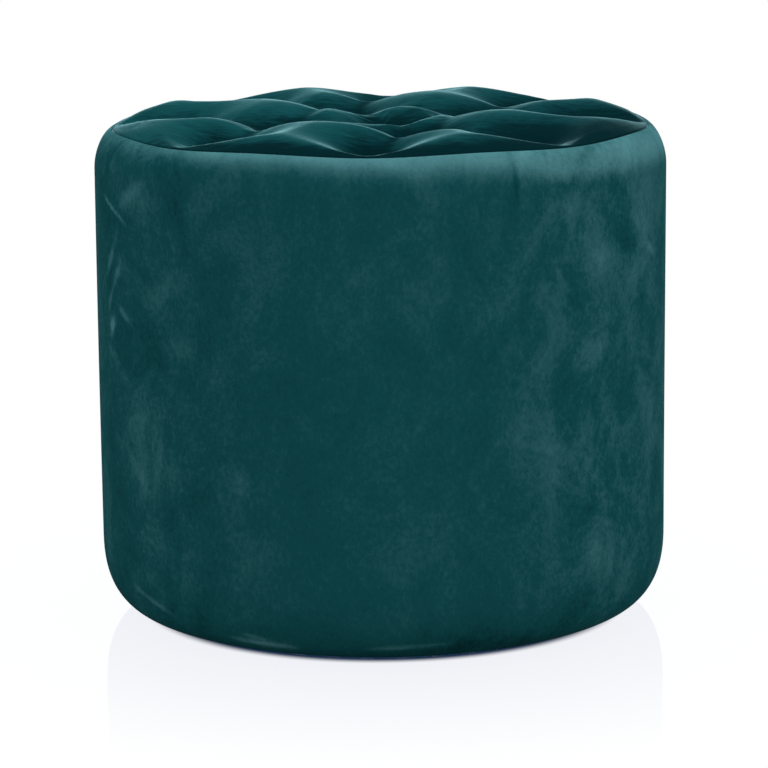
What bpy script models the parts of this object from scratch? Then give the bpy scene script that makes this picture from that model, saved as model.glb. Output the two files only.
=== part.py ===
# A drum pouf: timber frame, foam, a plain velvet side cover and a deep-tufted velvet top.
# Metres, +Z up. The origin is on the drum's axis at floor level, and the photographed side faces -Y.
import math

import bmesh
import bpy
from mathutils import Vector

# Fits and cloths
CLEARANCE = 0.0003
VELVET = 0.0012
DUST_CLOTH = 0.0006
SEAM_ALLOWANCE = 0.008

# Outline of the drum
WALL_RADIUS = 0.250
SEAM_HEIGHT = 0.4286
RIM_WIDTH = 0.0155
RIM_DROP = 0.033
RIM_SQUARENESS_SHARE = 1.8
BOTTOM_ROUND_WIDTH = 0.047
BOTTOM_ROUND_HEIGHT = 0.066
BOTTOM_SQUARENESS_SHARE = 2.45
TURN_UNDER_WIDTH = 0.015
DUST_COVER_LAP = 0.005

# Tufts: a ring, an inner ring half a petal round from it, and one near the middle
RING_TUFTS = 8
INNER_TUFTS = 4
RING_TUFT_INSET = 0.0555
INNER_TUFT_RADIUS = 0.091
PATTERN_TURN = math.radians(-92.3)
CENTRE_TUFT_X = 0.0052
CENTRE_TUFT_Y = -0.0225

# Relief of the tufted top
CROWN_RISE = 0.007
CROWN_POWER_SHARE = 2.0
PILLOW_RISE = 0.021
PILLOW_SPREAD = 0.044
CREASE_ROUNDING = 0.014
CREASE_BLEND_SHARE = 7.4
CREASE_FLAT_SHARE = 0.4
SEAM_STEEPNESS_SHARE = 1.2
RADIAL_CREASE_SHARE = 0.68
SPOKE_CREASE_SHARE = 1.05
INNER_CREASE_SHARES = (1.35, 1.2, 1.6, 0.85)
CENTRE_CREASE_SHARES = (1.15, 0.95, 0.75, 0.9)
PIT_DEPTH = 0.035
PIT_SPREAD = 0.020
PIT_FADE = 0.012

# Buttons and their twine
BUTTON_RADIUS = 0.0075
BUTTON_RISE = 0.0048
BUTTON_EDGE = 0.0018
TWINE_RADIUS = 0.0008
KNOT_RADIUS = 0.003
KNOT_LENGTH = 0.005
TWINE_TAIL = 0.012

# Foam
FOAM_WRAP = 0.035
SEAT_FOAM_DEPTH = 0.075

# Frame
SIDE_WALL = 0.003
BASE_THICKNESS = 0.015
DECK_THICKNESS = 0.015
DECK_EDGE_EASE = 0.001
POST_COUNT = 4
POST_WIDTH = 0.040
POST_DEPTH = 0.030
POST_SETBACK = 0.004
POST_EDGE_EASE = 0.0015

# Wood screws
SCREW_HEAD_RADIUS = 0.004
SCREW_HEAD_HEIGHT = 0.0026
SCREW_SHANK_RADIUS = 0.002
SCREW_LENGTH = 0.045
SCREW_POINT = 0.006
SCREW_SINK = 0.0006
SCREW_RECESS_RADIUS = 0.0016
SCREW_RECESS_DEPTH = 0.0014

# Nail-in glides
GLIDE_COUNT = 6
GLIDE_SETBACK = 0.028
GLIDE_RADIUS = 0.011
GLIDE_THICKNESS = 0.0028
GLIDE_EDGE_EASE = 0.0009
GLIDE_NAIL_RADIUS = 0.0012
GLIDE_NAIL_LENGTH = 0.013
GLIDE_NAIL_POINT = 0.003

# Facets and overruns
SPOKES_PER_TUFT = 6
CENTRE_ROWS = 3
INNER_ROWS = 4
OUTER_ROWS = 4
ROUND_SIDES = 16
SMALL_SIDES = 12
TWINE_SIDES = 8
RIM_STEPS = 4
BOTTOM_STEPS = 5
CUT_OVERRUN = 0.002
MERGE_DISTANCE = 0.00005
BEVEL_SEGMENTS = 2

DRUM_SIDES = RING_TUFTS * SPOKES_PER_TUFT
PETAL = math.tau / RING_TUFTS

# Heights, stacked from the floor
UNDERSIDE = GLIDE_THICKNESS + CLEARANCE + DUST_CLOTH + CLEARANCE
BASE_BOTTOM = UNDERSIDE + VELVET + CLEARANCE
BASE_TOP = BASE_BOTTOM + BASE_THICKNESS
DECK_TOP = SEAM_HEIGHT - SEAT_FOAM_DEPTH
DECK_BOTTOM = DECK_TOP - DECK_THICKNESS

# Radii, stacked inwards from the velvet
SEAM_RADIUS = WALL_RADIUS - RIM_WIDTH
RING_TUFT_RADIUS = SEAM_RADIUS - RING_TUFT_INSET
TURN_UNDER_RADIUS = WALL_RADIUS - BOTTOM_ROUND_WIDTH - TURN_UNDER_WIDTH
DUST_COVER_RADIUS = TURN_UNDER_RADIUS + DUST_COVER_LAP
GLIDE_CIRCLE_RADIUS = TURN_UNDER_RADIUS - GLIDE_SETBACK
COVER_INSET = VELVET + CLEARANCE
WALL_TUBE_RADIUS = WALL_RADIUS - COVER_INSET - FOAM_WRAP - CLEARANCE
WALL_TUBE_BORE = WALL_TUBE_RADIUS - SIDE_WALL
BOARD_RADIUS = WALL_TUBE_BORE - CLEARANCE
POST_CIRCLE_RADIUS = BOARD_RADIUS - POST_SETBACK - POST_DEPTH / 2
COVER_LIP_RADIUS = SEAM_RADIUS + CLEARANCE
FOAM_LIP_RADIUS = COVER_LIP_RADIUS + COVER_INSET
SEAT_FOAM_RADIUS = SEAM_RADIUS - COVER_INSET


def material(name, colour, roughness, metallic=0.0):
    made = bpy.data.materials.new(name)
    made.use_nodes = True
    shader = made.node_tree.nodes["Principled BSDF"]
    shader.inputs["Base Color"].default_value = (*colour, 1.0)
    shader.inputs["Roughness"].default_value = roughness
    shader.inputs["Metallic"].default_value = metallic
    return made


def finish(obj, finish_material, smooth_angle=40):
    # Gives an object its material and smooth shading with creases kept sharp.
    obj.data.materials.append(finish_material)
    obj.data.shade_smooth()
    obj.data.set_sharp_from_angle(angle=math.radians(smooth_angle))
    return obj


def new_object(name, collection, bm):
    mesh = bpy.data.meshes.new(name)
    bm.to_mesh(mesh)
    bm.free()
    obj = bpy.data.objects.new(name, mesh)
    collection.objects.link(obj)
    return obj


def turned(name, profile, sides, collection, closed=False):
    # Turns a profile of (radius, height) points about Z. Open profiles start and end on the axis.
    bm = bmesh.new()
    points = [bm.verts.new((radius, 0, height)) for radius, height in profile]
    for first, second in zip(points, points[1:]):
        bm.edges.new((first, second))
    if closed:
        bm.edges.new((points[-1], points[0]))
    obj = new_object(name, collection, bm)
    screw = obj.modifiers.new("turn", "SCREW")
    screw.steps = sides
    screw.render_steps = sides
    screw.use_merge_vertices = True
    screw.merge_threshold = MERGE_DISTANCE
    screw.use_smooth_shade = True
    return obj


def drum_piece(name, profile, collection, closed=False):
    # A turned piece of the drum, with its facets in line with the tufts.
    obj = turned(name, profile, DRUM_SIDES, collection, closed)
    obj.rotation_euler.z = PATTERN_TURN
    return obj


def bevelled(obj, width):
    bevel = obj.modifiers.new("eased edges", "BEVEL")
    bevel.width = width
    bevel.segments = BEVEL_SEGMENTS
    bevel.limit_method = "ANGLE"
    return obj


def cut_by(obj, cutters):
    cut = obj.modifiers.new("cut", "BOOLEAN")
    cut.operation = "DIFFERENCE"
    cut.solver = "EXACT"
    cut.operand_type = "COLLECTION"
    cut.collection = cutters
    return obj


def as_cutter(obj):
    obj.hide_render = True
    obj.display_type = "WIRE"
    return obj


def arc_share(angle, squareness):
    # The sides of a squared quarter round: cosine and sine raised to two over its squareness.
    power = 2 / squareness
    return math.cos(angle) ** power, math.sin(angle) ** power


def outline(inset):
    # The drum's outline, drawn in by inset, from the seam over the rim and down to the flat underside.
    points = []
    for step in range(RIM_STEPS, -1, -1):
        across, up = arc_share(math.pi / 2 * step / RIM_STEPS, RIM_SQUARENESS_SHARE)
        points.append((
            SEAM_RADIUS + (RIM_WIDTH - inset) * across,
            SEAM_HEIGHT - RIM_DROP + (RIM_DROP - inset) * up,
        ))
    for step in range(BOTTOM_STEPS + 1):
        across, down = arc_share(math.pi / 2 * step / BOTTOM_STEPS, BOTTOM_SQUARENESS_SHARE)
        points.append((
            WALL_RADIUS - BOTTOM_ROUND_WIDTH + (BOTTOM_ROUND_WIDTH - inset) * across,
            UNDERSIDE + BOTTOM_ROUND_HEIGHT - (BOTTOM_ROUND_HEIGHT - inset) * down,
        ))
    return points


def crossing(first, second, radius):
    # The point at a given radius on the line from one outline point to the next.
    share = (radius - first[0]) / (second[0] - first[0])
    return radius, first[1] + (second[1] - first[1]) * share


def underside_part(points, radius):
    # The outline's rounded bottom from a given radius inwards.
    start = len(points) - BOTTOM_STEPS - 1
    inner = [point for point in points[start:] if point[0] < radius]
    if not inner:
        return [(radius, points[-1][1])]
    before = points[len(points) - len(inner) - 1]
    return [crossing(before, inner[0], radius), *inner]


def outer_part(points, top_radius, bottom_radius):
    # The outline from a given radius on the rim to a given radius on the underside.
    rim = [point for point in points[:RIM_STEPS + 1] if point[0] > top_radius]
    start = crossing(points[RIM_STEPS - len(rim)], rim[0], top_radius)
    end = underside_part(points, bottom_radius)[0]
    bottom = [point for point in points[RIM_STEPS + 1:] if point[0] > bottom_radius]
    return [start, *rim, *bottom, end]


TWINE_HOLE = (TWINE_RADIUS + CLEARANCE) * math.sqrt(2)
BUTTON_SEAT = (BUTTON_RADIUS + CLEARANCE) * math.sqrt(2)


def tuft_centre(radius, angle):
    # A place on the top. Inside the outer ring of tufts the pattern is drawn towards the middle tuft.
    past_seat = max(0.0, radius - BUTTON_SEAT) / (RING_TUFT_RADIUS - BUTTON_SEAT)
    drawn = max(0.0, 1 - past_seat)
    return Vector((
        radius * math.cos(angle) + CENTRE_TUFT_X * drawn,
        radius * math.sin(angle) + CENTRE_TUFT_Y * drawn,
    ))


def ring_angle(index):
    return PATTERN_TURN + PETAL * index


def inner_angle(index):
    return PATTERN_TURN + PETAL / 2 + math.tau / INNER_TUFTS * index


RING = [tuft_centre(RING_TUFT_RADIUS, ring_angle(index)) for index in range(RING_TUFTS)]
INNER = [tuft_centre(INNER_TUFT_RADIUS, inner_angle(index)) for index in range(INNER_TUFTS)]
CENTRE = tuft_centre(0, 0)
TUFTS = [*RING, *INNER, CENTRE]


def creases():
    # The folds between tufts and from each outer tuft to the seam: ends, and how tight each is.
    found = []
    for tuft in RING:
        nearest = min(INNER, key=lambda inner: (inner - tuft).length)
        found.append((tuft, nearest, SPOKE_CREASE_SHARE))
        found.append((tuft, tuft * (SEAM_RADIUS / tuft.length), RADIAL_CREASE_SHARE))
    for index, tuft in enumerate(INNER):
        following = INNER[(index + 1) % INNER_TUFTS]
        found.append((tuft, following, INNER_CREASE_SHARES[index % len(INNER_CREASE_SHARES)]))
        found.append((tuft, CENTRE, CENTRE_CREASE_SHARES[index % len(CENTRE_CREASE_SHARES)]))
    return found


CREASES = creases()


def crease_distance(point, start, end):
    along = end - start
    share = max(0.0, min(1.0, (point - start).dot(along) / along.length_squared))
    return math.hypot((point - start - along * share).length, CREASE_ROUNDING)


def relief(point):
    # Height of the cloth over the seam's plane: a low crown, pillows that rise with the blended
    # distance from creases and seam, and a pit round each tuft.
    to_seam = max(0.0, SEAM_RADIUS - point.length)
    flat = CREASE_ROUNDING * CREASE_FLAT_SHARE
    near = (to_seam * SEAM_STEEPNESS_SHARE + flat) ** -CREASE_BLEND_SHARE
    for start, end, tightness in CREASES:
        near += (crease_distance(point, start, end) * tightness) ** -CREASE_BLEND_SHARE
    reach = max(0.0, near ** (-1 / CREASE_BLEND_SHARE) - flat)
    crown = CROWN_RISE * (1 - min(1.0, point.length / SEAM_RADIUS) ** CROWN_POWER_SHARE)
    pillow = PILLOW_RISE * (1 - math.exp(-reach / PILLOW_SPREAD))
    pit = max(
        math.exp(-math.hypot((point - tuft).length, CREASE_ROUNDING / 2) / PIT_SPREAD) for tuft in TUFTS
    )
    return crown + pillow - PIT_DEPTH * pit * (1 - math.exp(-to_seam / PIT_FADE))


def cloth_height(point):
    # The cloth lies flat where a button presses on it.
    for tuft in TUFTS:
        if (point - tuft).length < BUTTON_SEAT + CLEARANCE:
            return relief(tuft)
    return relief(point)


def steepness(point):
    # How much longer a slanting step is than a level one, to keep a layer's thickness on slopes.
    step = CREASE_ROUNDING / 4
    across = cloth_height(point + Vector((step, 0))) - cloth_height(point - Vector((step, 0)))
    along = cloth_height(point + Vector((0, step))) - cloth_height(point - Vector((0, step)))
    return math.sqrt(1 + (across ** 2 + along ** 2) / (2 * step) ** 2)


def plan_rings():
    # Radii of the plan's rings, each with whether it has every spoke or every second one. Every
    # spoke starts two rows out from the inner tufts.
    rings = [(TWINE_HOLE, False), (BUTTON_SEAT, False)]
    for first, last, rows in (
        (BUTTON_SEAT, INNER_TUFT_RADIUS, CENTRE_ROWS),
        (INNER_TUFT_RADIUS, RING_TUFT_RADIUS, INNER_ROWS),
        (RING_TUFT_RADIUS, SEAM_RADIUS, OUTER_ROWS),
    ):
        for row in range(1, rows + 1):
            full = first > INNER_TUFT_RADIUS or (first == INNER_TUFT_RADIUS and row > 1)
            rings.append((first + (last - first) * row / rows, full))
    return rings


def plan_row(bm, radius, full):
    spacing = math.tau / DRUM_SIDES
    spokes = range(DRUM_SIDES) if full else range(1, DRUM_SIDES, 2)
    places = [tuft_centre(radius, PATTERN_TURN + spacing * spoke) for spoke in spokes]
    return [bm.verts.new((place.x, place.y, 0)) for place in places]


def join_rows(bm, inner, outer):
    # Quads between like rows, or fans of three where every second spoke starts.
    count = len(inner)
    for index in range(count):
        here, there = inner[index], inner[(index + 1) % count]
        if len(outer) == count:
            bm.faces.new((here, outer[index], outer[(index + 1) % count], there))
            continue
        start = 2 * index + 1
        first, middle, last = (outer[(start + step) % len(outer)] for step in range(3))
        bm.faces.new((here, first, middle))
        bm.faces.new((here, middle, there))
        bm.faces.new((there, middle, last))


def squared_round(face, tuft, radius):
    # Moves a face's four corners onto a square about a tuft, one corner pointing at the seam.
    outward = tuft.normalized()
    corners = [outward, -outward, outward.orthogonal(), -outward.orthogonal()]
    for vert in face.verts:
        corner = max(corners, key=lambda direction: direction.dot(vert.co.xy - tuft))
        vert.co.xy = tuft + corner * radius


def fan_beside(seat):
    # Splits each five-sided face beside a seat from its far corner, so that it rises evenly.
    for edge in seat.edges:
        beside = next(loop for loop in edge.link_loops if loop.face is not seat)
        far = beside.link_loop_next.link_loop_next.link_loop_next.vert
        for corner in edge.verts:
            shared = next(face for face in far.link_faces if corner in face.verts)
            bmesh.utils.face_split(shared, far, corner)


def open_tuft(bm, tuft):
    # Turns the plan's vertex at a tuft into a flat seat with a hole for the twine.
    vertex = min(bm.verts, key=lambda vert: (vert.co.xy - tuft).length)
    bmesh.ops.bevel(
        bm, geom=[vertex], offset=BUTTON_SEAT, offset_type="OFFSET", segments=1, affect="VERTICES"
    )
    seat = min(bm.faces, key=lambda face: (face.calc_center_median().xy - tuft).length)
    squared_round(seat, tuft, BUTTON_SEAT)
    fan_beside(seat)
    bmesh.ops.inset_individual(bm, faces=[seat], thickness=TWINE_HOLE)
    squared_round(seat, tuft, TWINE_HOLE)
    bm.faces.remove(seat)


def cloth_plan(flange):
    # The top laid flat: rows of vertices on rings, with a seat and a twine hole at each tuft.
    bm = bmesh.new()
    rings = plan_rings()
    if flange:
        rings.append((SEAM_RADIUS + SEAM_ALLOWANCE, True))
    rows = [plan_row(bm, radius, full) for radius, full in rings]
    for inner, outer in zip(rows, rows[1:]):
        join_rows(bm, inner, outer)
    for tuft in RING + INNER:
        open_tuft(bm, tuft)
    bmesh.ops.triangulate(bm, faces=bm.faces[:], quad_method="FIXED", ngon_method="EAR_CLIP")
    return bm


def laid(plan_point, depth, edge_radius):
    # Where a point of the flat plan comes to lie, some depth under the cloth's face. Past the seam
    # the cloth turns straight down.
    place = plan_point.xy
    fallen = place.length - SEAM_RADIUS
    outward = place.length
    if outward > edge_radius:
        place = place * (edge_radius / outward)
    if fallen > CLEARANCE:
        return Vector((place.x, place.y, SEAM_HEIGHT - fallen))
    height = cloth_height(plan_point.xy) - depth * steepness(plan_point.xy)
    return Vector((place.x, place.y, SEAM_HEIGHT + height))


def layer(name, collection, flange, top_depth, top_radius, under):
    # A closed layer over the plan: its top from the relief, its underside from the function given.
    bm = cloth_plan(flange)
    lower = list(bm.verts)
    raised = bmesh.ops.extrude_face_region(bm, geom=bm.faces[:])["geom"]
    upper = [item for item in raised if isinstance(item, bmesh.types.BMVert)]
    places = [(vert, under(vert.co.copy())) for vert in lower]
    places += [(vert, laid(vert.co.copy(), top_depth, top_radius)) for vert in upper]
    for vert, place in places:
        vert.co = place
    bmesh.ops.recalc_face_normals(bm, faces=bm.faces)
    return new_object(name, collection, bm)


def velvet_top_panel(collection, velvet):
    def under(plan_point):
        return laid(plan_point, VELVET, SEAM_RADIUS - VELVET)

    return finish(layer("velvet_top_panel", collection, True, 0.0, SEAM_RADIUS, under), velvet)


def seat_foam(collection, foam):
    def under(plan_point):
        place = plan_point.xy
        if place.length > SEAT_FOAM_RADIUS:
            place = place * (SEAT_FOAM_RADIUS / place.length)
        return Vector((place.x, place.y, DECK_TOP + CLEARANCE))

    return finish(layer("seat_foam", collection, False, COVER_INSET, SEAT_FOAM_RADIUS, under), foam)


def velvet_side_cover(collection, velvet):
    # Seam allowance, rim, wall and rounded bottom, turned under the base board.
    lip = SEAM_HEIGHT - SEAM_ALLOWANCE
    face = [
        (COVER_LIP_RADIUS, lip),
        (COVER_LIP_RADIUS, SEAM_HEIGHT),
        *outline(0.0)[1:],
        (TURN_UNDER_RADIUS, UNDERSIDE),
    ]
    back = [
        (TURN_UNDER_RADIUS, UNDERSIDE + VELVET),
        *reversed(outline(VELVET)[1:]),
        (COVER_LIP_RADIUS + VELVET, SEAM_HEIGHT - VELVET),
        (COVER_LIP_RADIUS + VELVET, lip),
    ]
    return finish(drum_piece("velvet_side_cover", face + back, collection, closed=True), velvet)


def side_foam(collection, foam):
    # Rounds the rim and the bottom edge, and steps in under the seat foam.
    bore = WALL_TUBE_RADIUS + CLEARANCE
    face = outer_part(outline(COVER_INSET), FOAM_LIP_RADIUS, bore)
    profile = [*face, (bore, DECK_TOP), (FOAM_LIP_RADIUS, DECK_TOP)]
    return finish(drum_piece("side_foam", profile, collection, closed=True), foam)


def side_wall(collection, board):
    foot = underside_part(outline(COVER_INSET), WALL_TUBE_RADIUS)[0][1]
    profile = [
        (WALL_TUBE_RADIUS, DECK_TOP),
        (WALL_TUBE_RADIUS, foot),
        (WALL_TUBE_BORE, foot),
        (WALL_TUBE_BORE, DECK_TOP),
    ]
    return finish(drum_piece("side_wall", profile, collection, closed=True), board)


def base_board(collection, plywood, screw_cutters, nail_cutters):
    edge = underside_part(outline(COVER_INSET), BOARD_RADIUS)
    profile = [(0, BASE_TOP), (BOARD_RADIUS, BASE_TOP), *edge, (0, BASE_BOTTOM)]
    obj = drum_piece("base_board", profile, collection)
    cut_by(obj, screw_cutters)
    cut_by(obj, nail_cutters)
    return finish(obj, plywood)


def seat_deck(collection, plywood, screw_cutters, twine_cutters):
    profile = [(0, DECK_TOP), (BOARD_RADIUS, DECK_TOP), (BOARD_RADIUS, DECK_BOTTOM), (0, DECK_BOTTOM)]
    obj = bevelled(drum_piece("seat_deck", profile, collection), DECK_EDGE_EASE)
    cut_by(obj, screw_cutters)
    cut_by(obj, twine_cutters)
    return finish(obj, plywood)


def post_angles():
    # Midway between outer tufts, so that the twine's knots miss the posts.
    return [PATTERN_TURN + PETAL / 2 + math.tau / POST_COUNT * index for index in range(POST_COUNT)]


def on_circle(radius, angle, height):
    return Vector((radius * math.cos(angle), radius * math.sin(angle), height))


def frame_post(index, angle, collection, pine, screw_cutters):
    bottom = BASE_TOP + CLEARANCE
    height = DECK_BOTTOM - CLEARANCE - bottom
    bm = bmesh.new()
    bmesh.ops.create_cube(bm, size=1)
    bmesh.ops.scale(bm, vec=(POST_DEPTH, POST_WIDTH, height), verts=bm.verts)
    obj = bevelled(new_object(f"frame_post_{index}", collection, bm), POST_EDGE_EASE)
    obj.location = on_circle(POST_CIRCLE_RADIUS, angle, bottom + height / 2)
    obj.rotation_euler.z = angle
    cut_by(obj, screw_cutters)
    return finish(obj, pine)


def screw_profile():
    # From the recess in the head down to the point, with the head's face at height zero.
    return [
        (0, -SCREW_RECESS_DEPTH),
        (SCREW_RECESS_RADIUS, 0),
        (SCREW_HEAD_RADIUS, 0),
        (SCREW_SHANK_RADIUS, -SCREW_HEAD_HEIGHT),
        (SCREW_SHANK_RADIUS, SCREW_POINT - SCREW_LENGTH),
        (0, -SCREW_LENGTH),
    ]


def screw_bore_profile():
    # The screw's own shape with a clearance round it, open above its head.
    head = SCREW_HEAD_RADIUS + CLEARANCE
    shank = SCREW_SHANK_RADIUS + CLEARANCE
    top = SCREW_SINK + CUT_OVERRUN
    return [
        (0, top),
        (head, top),
        (head, 0),
        (shank, -SCREW_HEAD_HEIGHT),
        (shank, -SCREW_LENGTH - CLEARANCE),
        (0, -SCREW_LENGTH - CLEARANCE),
    ]


def screw_places():
    # Name, place and turn of each screw: down through the deck, and up through the base board.
    places = []
    for index, angle in enumerate(post_angles(), 1):
        deck = on_circle(POST_CIRCLE_RADIUS, angle, DECK_TOP - SCREW_SINK)
        base = on_circle(POST_CIRCLE_RADIUS, angle, BASE_BOTTOM + SCREW_SINK)
        places.append((f"deck_screw_{index}", deck, 0.0))
        places.append((f"base_screw_{index}", base, math.pi))
    return places


def placed_screw(name, place, turn, profile, collection):
    obj = turned(name, profile, SMALL_SIDES, collection)
    obj.location = place
    obj.rotation_euler.x = turn
    return obj


def round_cutter(name, radius, bottom, top, place, sides, collection):
    # A straight cutter whose flats lie outside the radius given.
    reach = radius / math.cos(math.pi / sides)
    profile = [(0, top), (reach, top), (reach, bottom), (0, bottom)]
    obj = turned(name, profile, sides, collection)
    obj.location = (place.x, place.y, 0)
    return as_cutter(obj)


def twine_cutter(index, tuft, collection):
    return round_cutter(
        f"twine_cutter_{index:02d}",
        TWINE_RADIUS + CLEARANCE,
        DECK_BOTTOM - CUT_OVERRUN,
        DECK_TOP + CUT_OVERRUN,
        tuft,
        TWINE_SIDES,
        collection,
    )


def glide_places():
    angles = [PATTERN_TURN + math.tau / GLIDE_COUNT * index for index in range(GLIDE_COUNT)]
    return [on_circle(GLIDE_CIRCLE_RADIUS, angle, 0) for angle in angles]


def nail_cutter(index, place, collection):
    return round_cutter(
        f"nail_cutter_{index}",
        GLIDE_NAIL_RADIUS + CLEARANCE,
        0.0,
        GLIDE_THICKNESS + GLIDE_NAIL_LENGTH + CLEARANCE,
        place,
        SMALL_SIDES,
        collection,
    )


def glide(index, place, collection, plastic):
    # A plastic disc with its nail.
    tip = GLIDE_THICKNESS + GLIDE_NAIL_LENGTH
    profile = [
        (0, tip),
        (GLIDE_NAIL_RADIUS, tip - GLIDE_NAIL_POINT),
        (GLIDE_NAIL_RADIUS, GLIDE_THICKNESS),
        (GLIDE_RADIUS - GLIDE_EDGE_EASE, GLIDE_THICKNESS),
        (GLIDE_RADIUS, GLIDE_THICKNESS - GLIDE_EDGE_EASE),
        (GLIDE_RADIUS, GLIDE_EDGE_EASE),
        (GLIDE_RADIUS - GLIDE_EDGE_EASE, 0),
        (0, 0),
    ]
    obj = turned(f"glide_{index}", profile, ROUND_SIDES, collection)
    obj.location = place
    return finish(obj, plastic)


def dust_cover(collection, cloth, nail_cutters):
    top = UNDERSIDE - CLEARANCE
    bottom = top - DUST_CLOTH
    profile = [(0, top), (DUST_COVER_RADIUS, top), (DUST_COVER_RADIUS, bottom), (0, bottom)]
    obj = drum_piece("dust_cover", profile, collection)
    cut_by(obj, nail_cutters)
    return finish(obj, cloth)


def tuft_button(index, tuft, collection, velvet):
    # A covered button: a flat back and a low dome.
    profile = [
        (0, BUTTON_RISE),
        (BUTTON_RADIUS * math.cos(math.radians(60)), BUTTON_RISE - BUTTON_EDGE / 4),
        (BUTTON_RADIUS - BUTTON_EDGE / 2, BUTTON_RISE - BUTTON_EDGE),
        (BUTTON_RADIUS, (BUTTON_RISE - BUTTON_EDGE) / 2),
        (BUTTON_RADIUS - BUTTON_EDGE / 2, 0),
        (0, 0),
    ]
    obj = turned(f"tuft_button_{index:02d}", profile, ROUND_SIDES, collection)
    obj.location = (tuft.x, tuft.y, SEAM_HEIGHT + relief(tuft) + CLEARANCE)
    return finish(obj, velvet)


def tuft_twine(index, tuft, collection, waxed):
    # From the button's back down through velvet, foam and deck to its knot and cut tail.
    top = SEAM_HEIGHT + relief(tuft)
    knot = DECK_BOTTOM - CLEARANCE
    knot_end = knot - KNOT_LENGTH
    profile = [
        (0, top),
        (TWINE_RADIUS, top),
        (TWINE_RADIUS, knot),
        (KNOT_RADIUS, knot - KNOT_LENGTH / 3),
        (KNOT_RADIUS, knot_end + KNOT_LENGTH / 3),
        (TWINE_RADIUS, knot_end),
        (TWINE_RADIUS, knot_end - TWINE_TAIL),
        (0, knot_end - TWINE_TAIL),
    ]
    obj = turned(f"tuft_twine_{index:02d}", profile, TWINE_SIDES, collection)
    obj.location = (tuft.x, tuft.y, 0)
    return finish(obj, waxed)


def new_collection(name, parent):
    collection = bpy.data.collections.new(name)
    parent.children.link(collection)
    return collection


def clear_scene():
    for obj in list(bpy.data.objects):
        bpy.data.objects.remove(obj)


def main():
    clear_scene()
    scene = bpy.context.scene.collection
    pouf = new_collection("pouf", scene)
    cutters = new_collection("cutters", scene)
    screw_cutters = new_collection("screw_cutters", cutters)
    twine_cutters = new_collection("twine_cutters", cutters)
    nail_cutters = new_collection("nail_cutters", cutters)

    velvet = material("teal_velvet", (0.006, 0.052, 0.058), 0.85)
    foam = material("upholstery_foam", (0.78, 0.72, 0.55), 0.95)
    fibreboard = material("fibreboard", (0.34, 0.22, 0.13), 0.8)
    plywood = material("birch_plywood", (0.62, 0.45, 0.27), 0.6)
    pine = material("pine_batten", (0.66, 0.47, 0.26), 0.65)
    steel = material("zinc_plated_steel", (0.62, 0.6, 0.55), 0.35, 1.0)
    waxed = material("waxed_twine", (0.55, 0.5, 0.4), 0.7)
    dust_cloth = material("black_dust_cloth", (0.02, 0.02, 0.02), 0.95)
    plastic = material("black_plastic", (0.03, 0.03, 0.03), 0.5)

    for name, place, turn in screw_places():
        as_cutter(placed_screw(f"{name}_cutter", place, turn, screw_bore_profile(), screw_cutters))
        finish(placed_screw(name, place, turn, screw_profile(), pouf), steel)
    for index, tuft in enumerate(TUFTS, 1):
        twine_cutter(index, tuft, twine_cutters)
        tuft_button(index, tuft, pouf, velvet)
        tuft_twine(index, tuft, pouf, waxed)
    for index, place in enumerate(glide_places(), 1):
        nail_cutter(index, place, nail_cutters)
        glide(index, place, pouf, plastic)

    velvet_top_panel(pouf, velvet)
    velvet_side_cover(pouf, velvet)
    seat_foam(pouf, foam)
    side_foam(pouf, foam)
    side_wall(pouf, fibreboard)
    base_board(pouf, plywood, screw_cutters, nail_cutters)
    seat_deck(pouf, plywood, screw_cutters, twine_cutters)
    for index, angle in enumerate(post_angles(), 1):
        frame_post(index, angle, pouf, pine, screw_cutters)
    dust_cover(pouf, dust_cloth, nail_cutters)


main()
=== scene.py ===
# Tufted velvet pouf: upholstery, trim, finishes, floor, lights and camera over the fixed frame.
# Metres, +Z up. The side that faces the camera is -Y.
import math

import bpy
import numpy as np
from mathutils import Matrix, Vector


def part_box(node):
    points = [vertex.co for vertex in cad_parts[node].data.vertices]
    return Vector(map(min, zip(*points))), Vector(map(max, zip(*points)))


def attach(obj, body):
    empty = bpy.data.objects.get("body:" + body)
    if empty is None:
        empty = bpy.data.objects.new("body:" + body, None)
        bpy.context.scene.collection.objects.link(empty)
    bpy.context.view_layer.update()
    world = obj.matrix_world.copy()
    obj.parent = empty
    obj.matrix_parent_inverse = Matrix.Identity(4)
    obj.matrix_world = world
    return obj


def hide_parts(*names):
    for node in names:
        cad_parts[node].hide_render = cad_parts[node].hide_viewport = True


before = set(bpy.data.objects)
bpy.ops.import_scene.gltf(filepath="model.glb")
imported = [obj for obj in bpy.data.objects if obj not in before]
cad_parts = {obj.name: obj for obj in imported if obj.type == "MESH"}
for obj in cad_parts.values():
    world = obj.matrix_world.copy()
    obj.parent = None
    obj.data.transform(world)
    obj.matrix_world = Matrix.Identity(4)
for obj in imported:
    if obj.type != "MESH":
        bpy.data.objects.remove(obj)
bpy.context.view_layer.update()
print("frame loaded:", len(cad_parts), "nodes")


def added(name, data):
    # A new object in the scene.
    thing = bpy.data.objects.new(name, data)
    bpy.context.scene.collection.objects.link(thing)
    return thing


# Camera, fitted to the outline in the photograph

view = {
    "place": (0.0014, -3.0, 0.7728),
    "pitchDown": 0.1896,
    "roll": -0.0098,
    "focalPixels": 3432,
    "framePixels": 768,
    "sensor": 36,
}


def addCamera():
    camera = added("camera", bpy.data.cameras.new("camera"))
    camera.data.sensor_width = view["sensor"]
    camera.data.lens = view["focalPixels"] / view["framePixels"] * view["sensor"]
    camera.location = view["place"]
    camera.rotation_mode = "ZYX"
    camera.rotation_euler = (math.pi / 2 - view["pitchDown"], 0, view["roll"])
    bpy.context.scene.camera = camera


addCamera()
print("camera placed")


# Shader helpers

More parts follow.
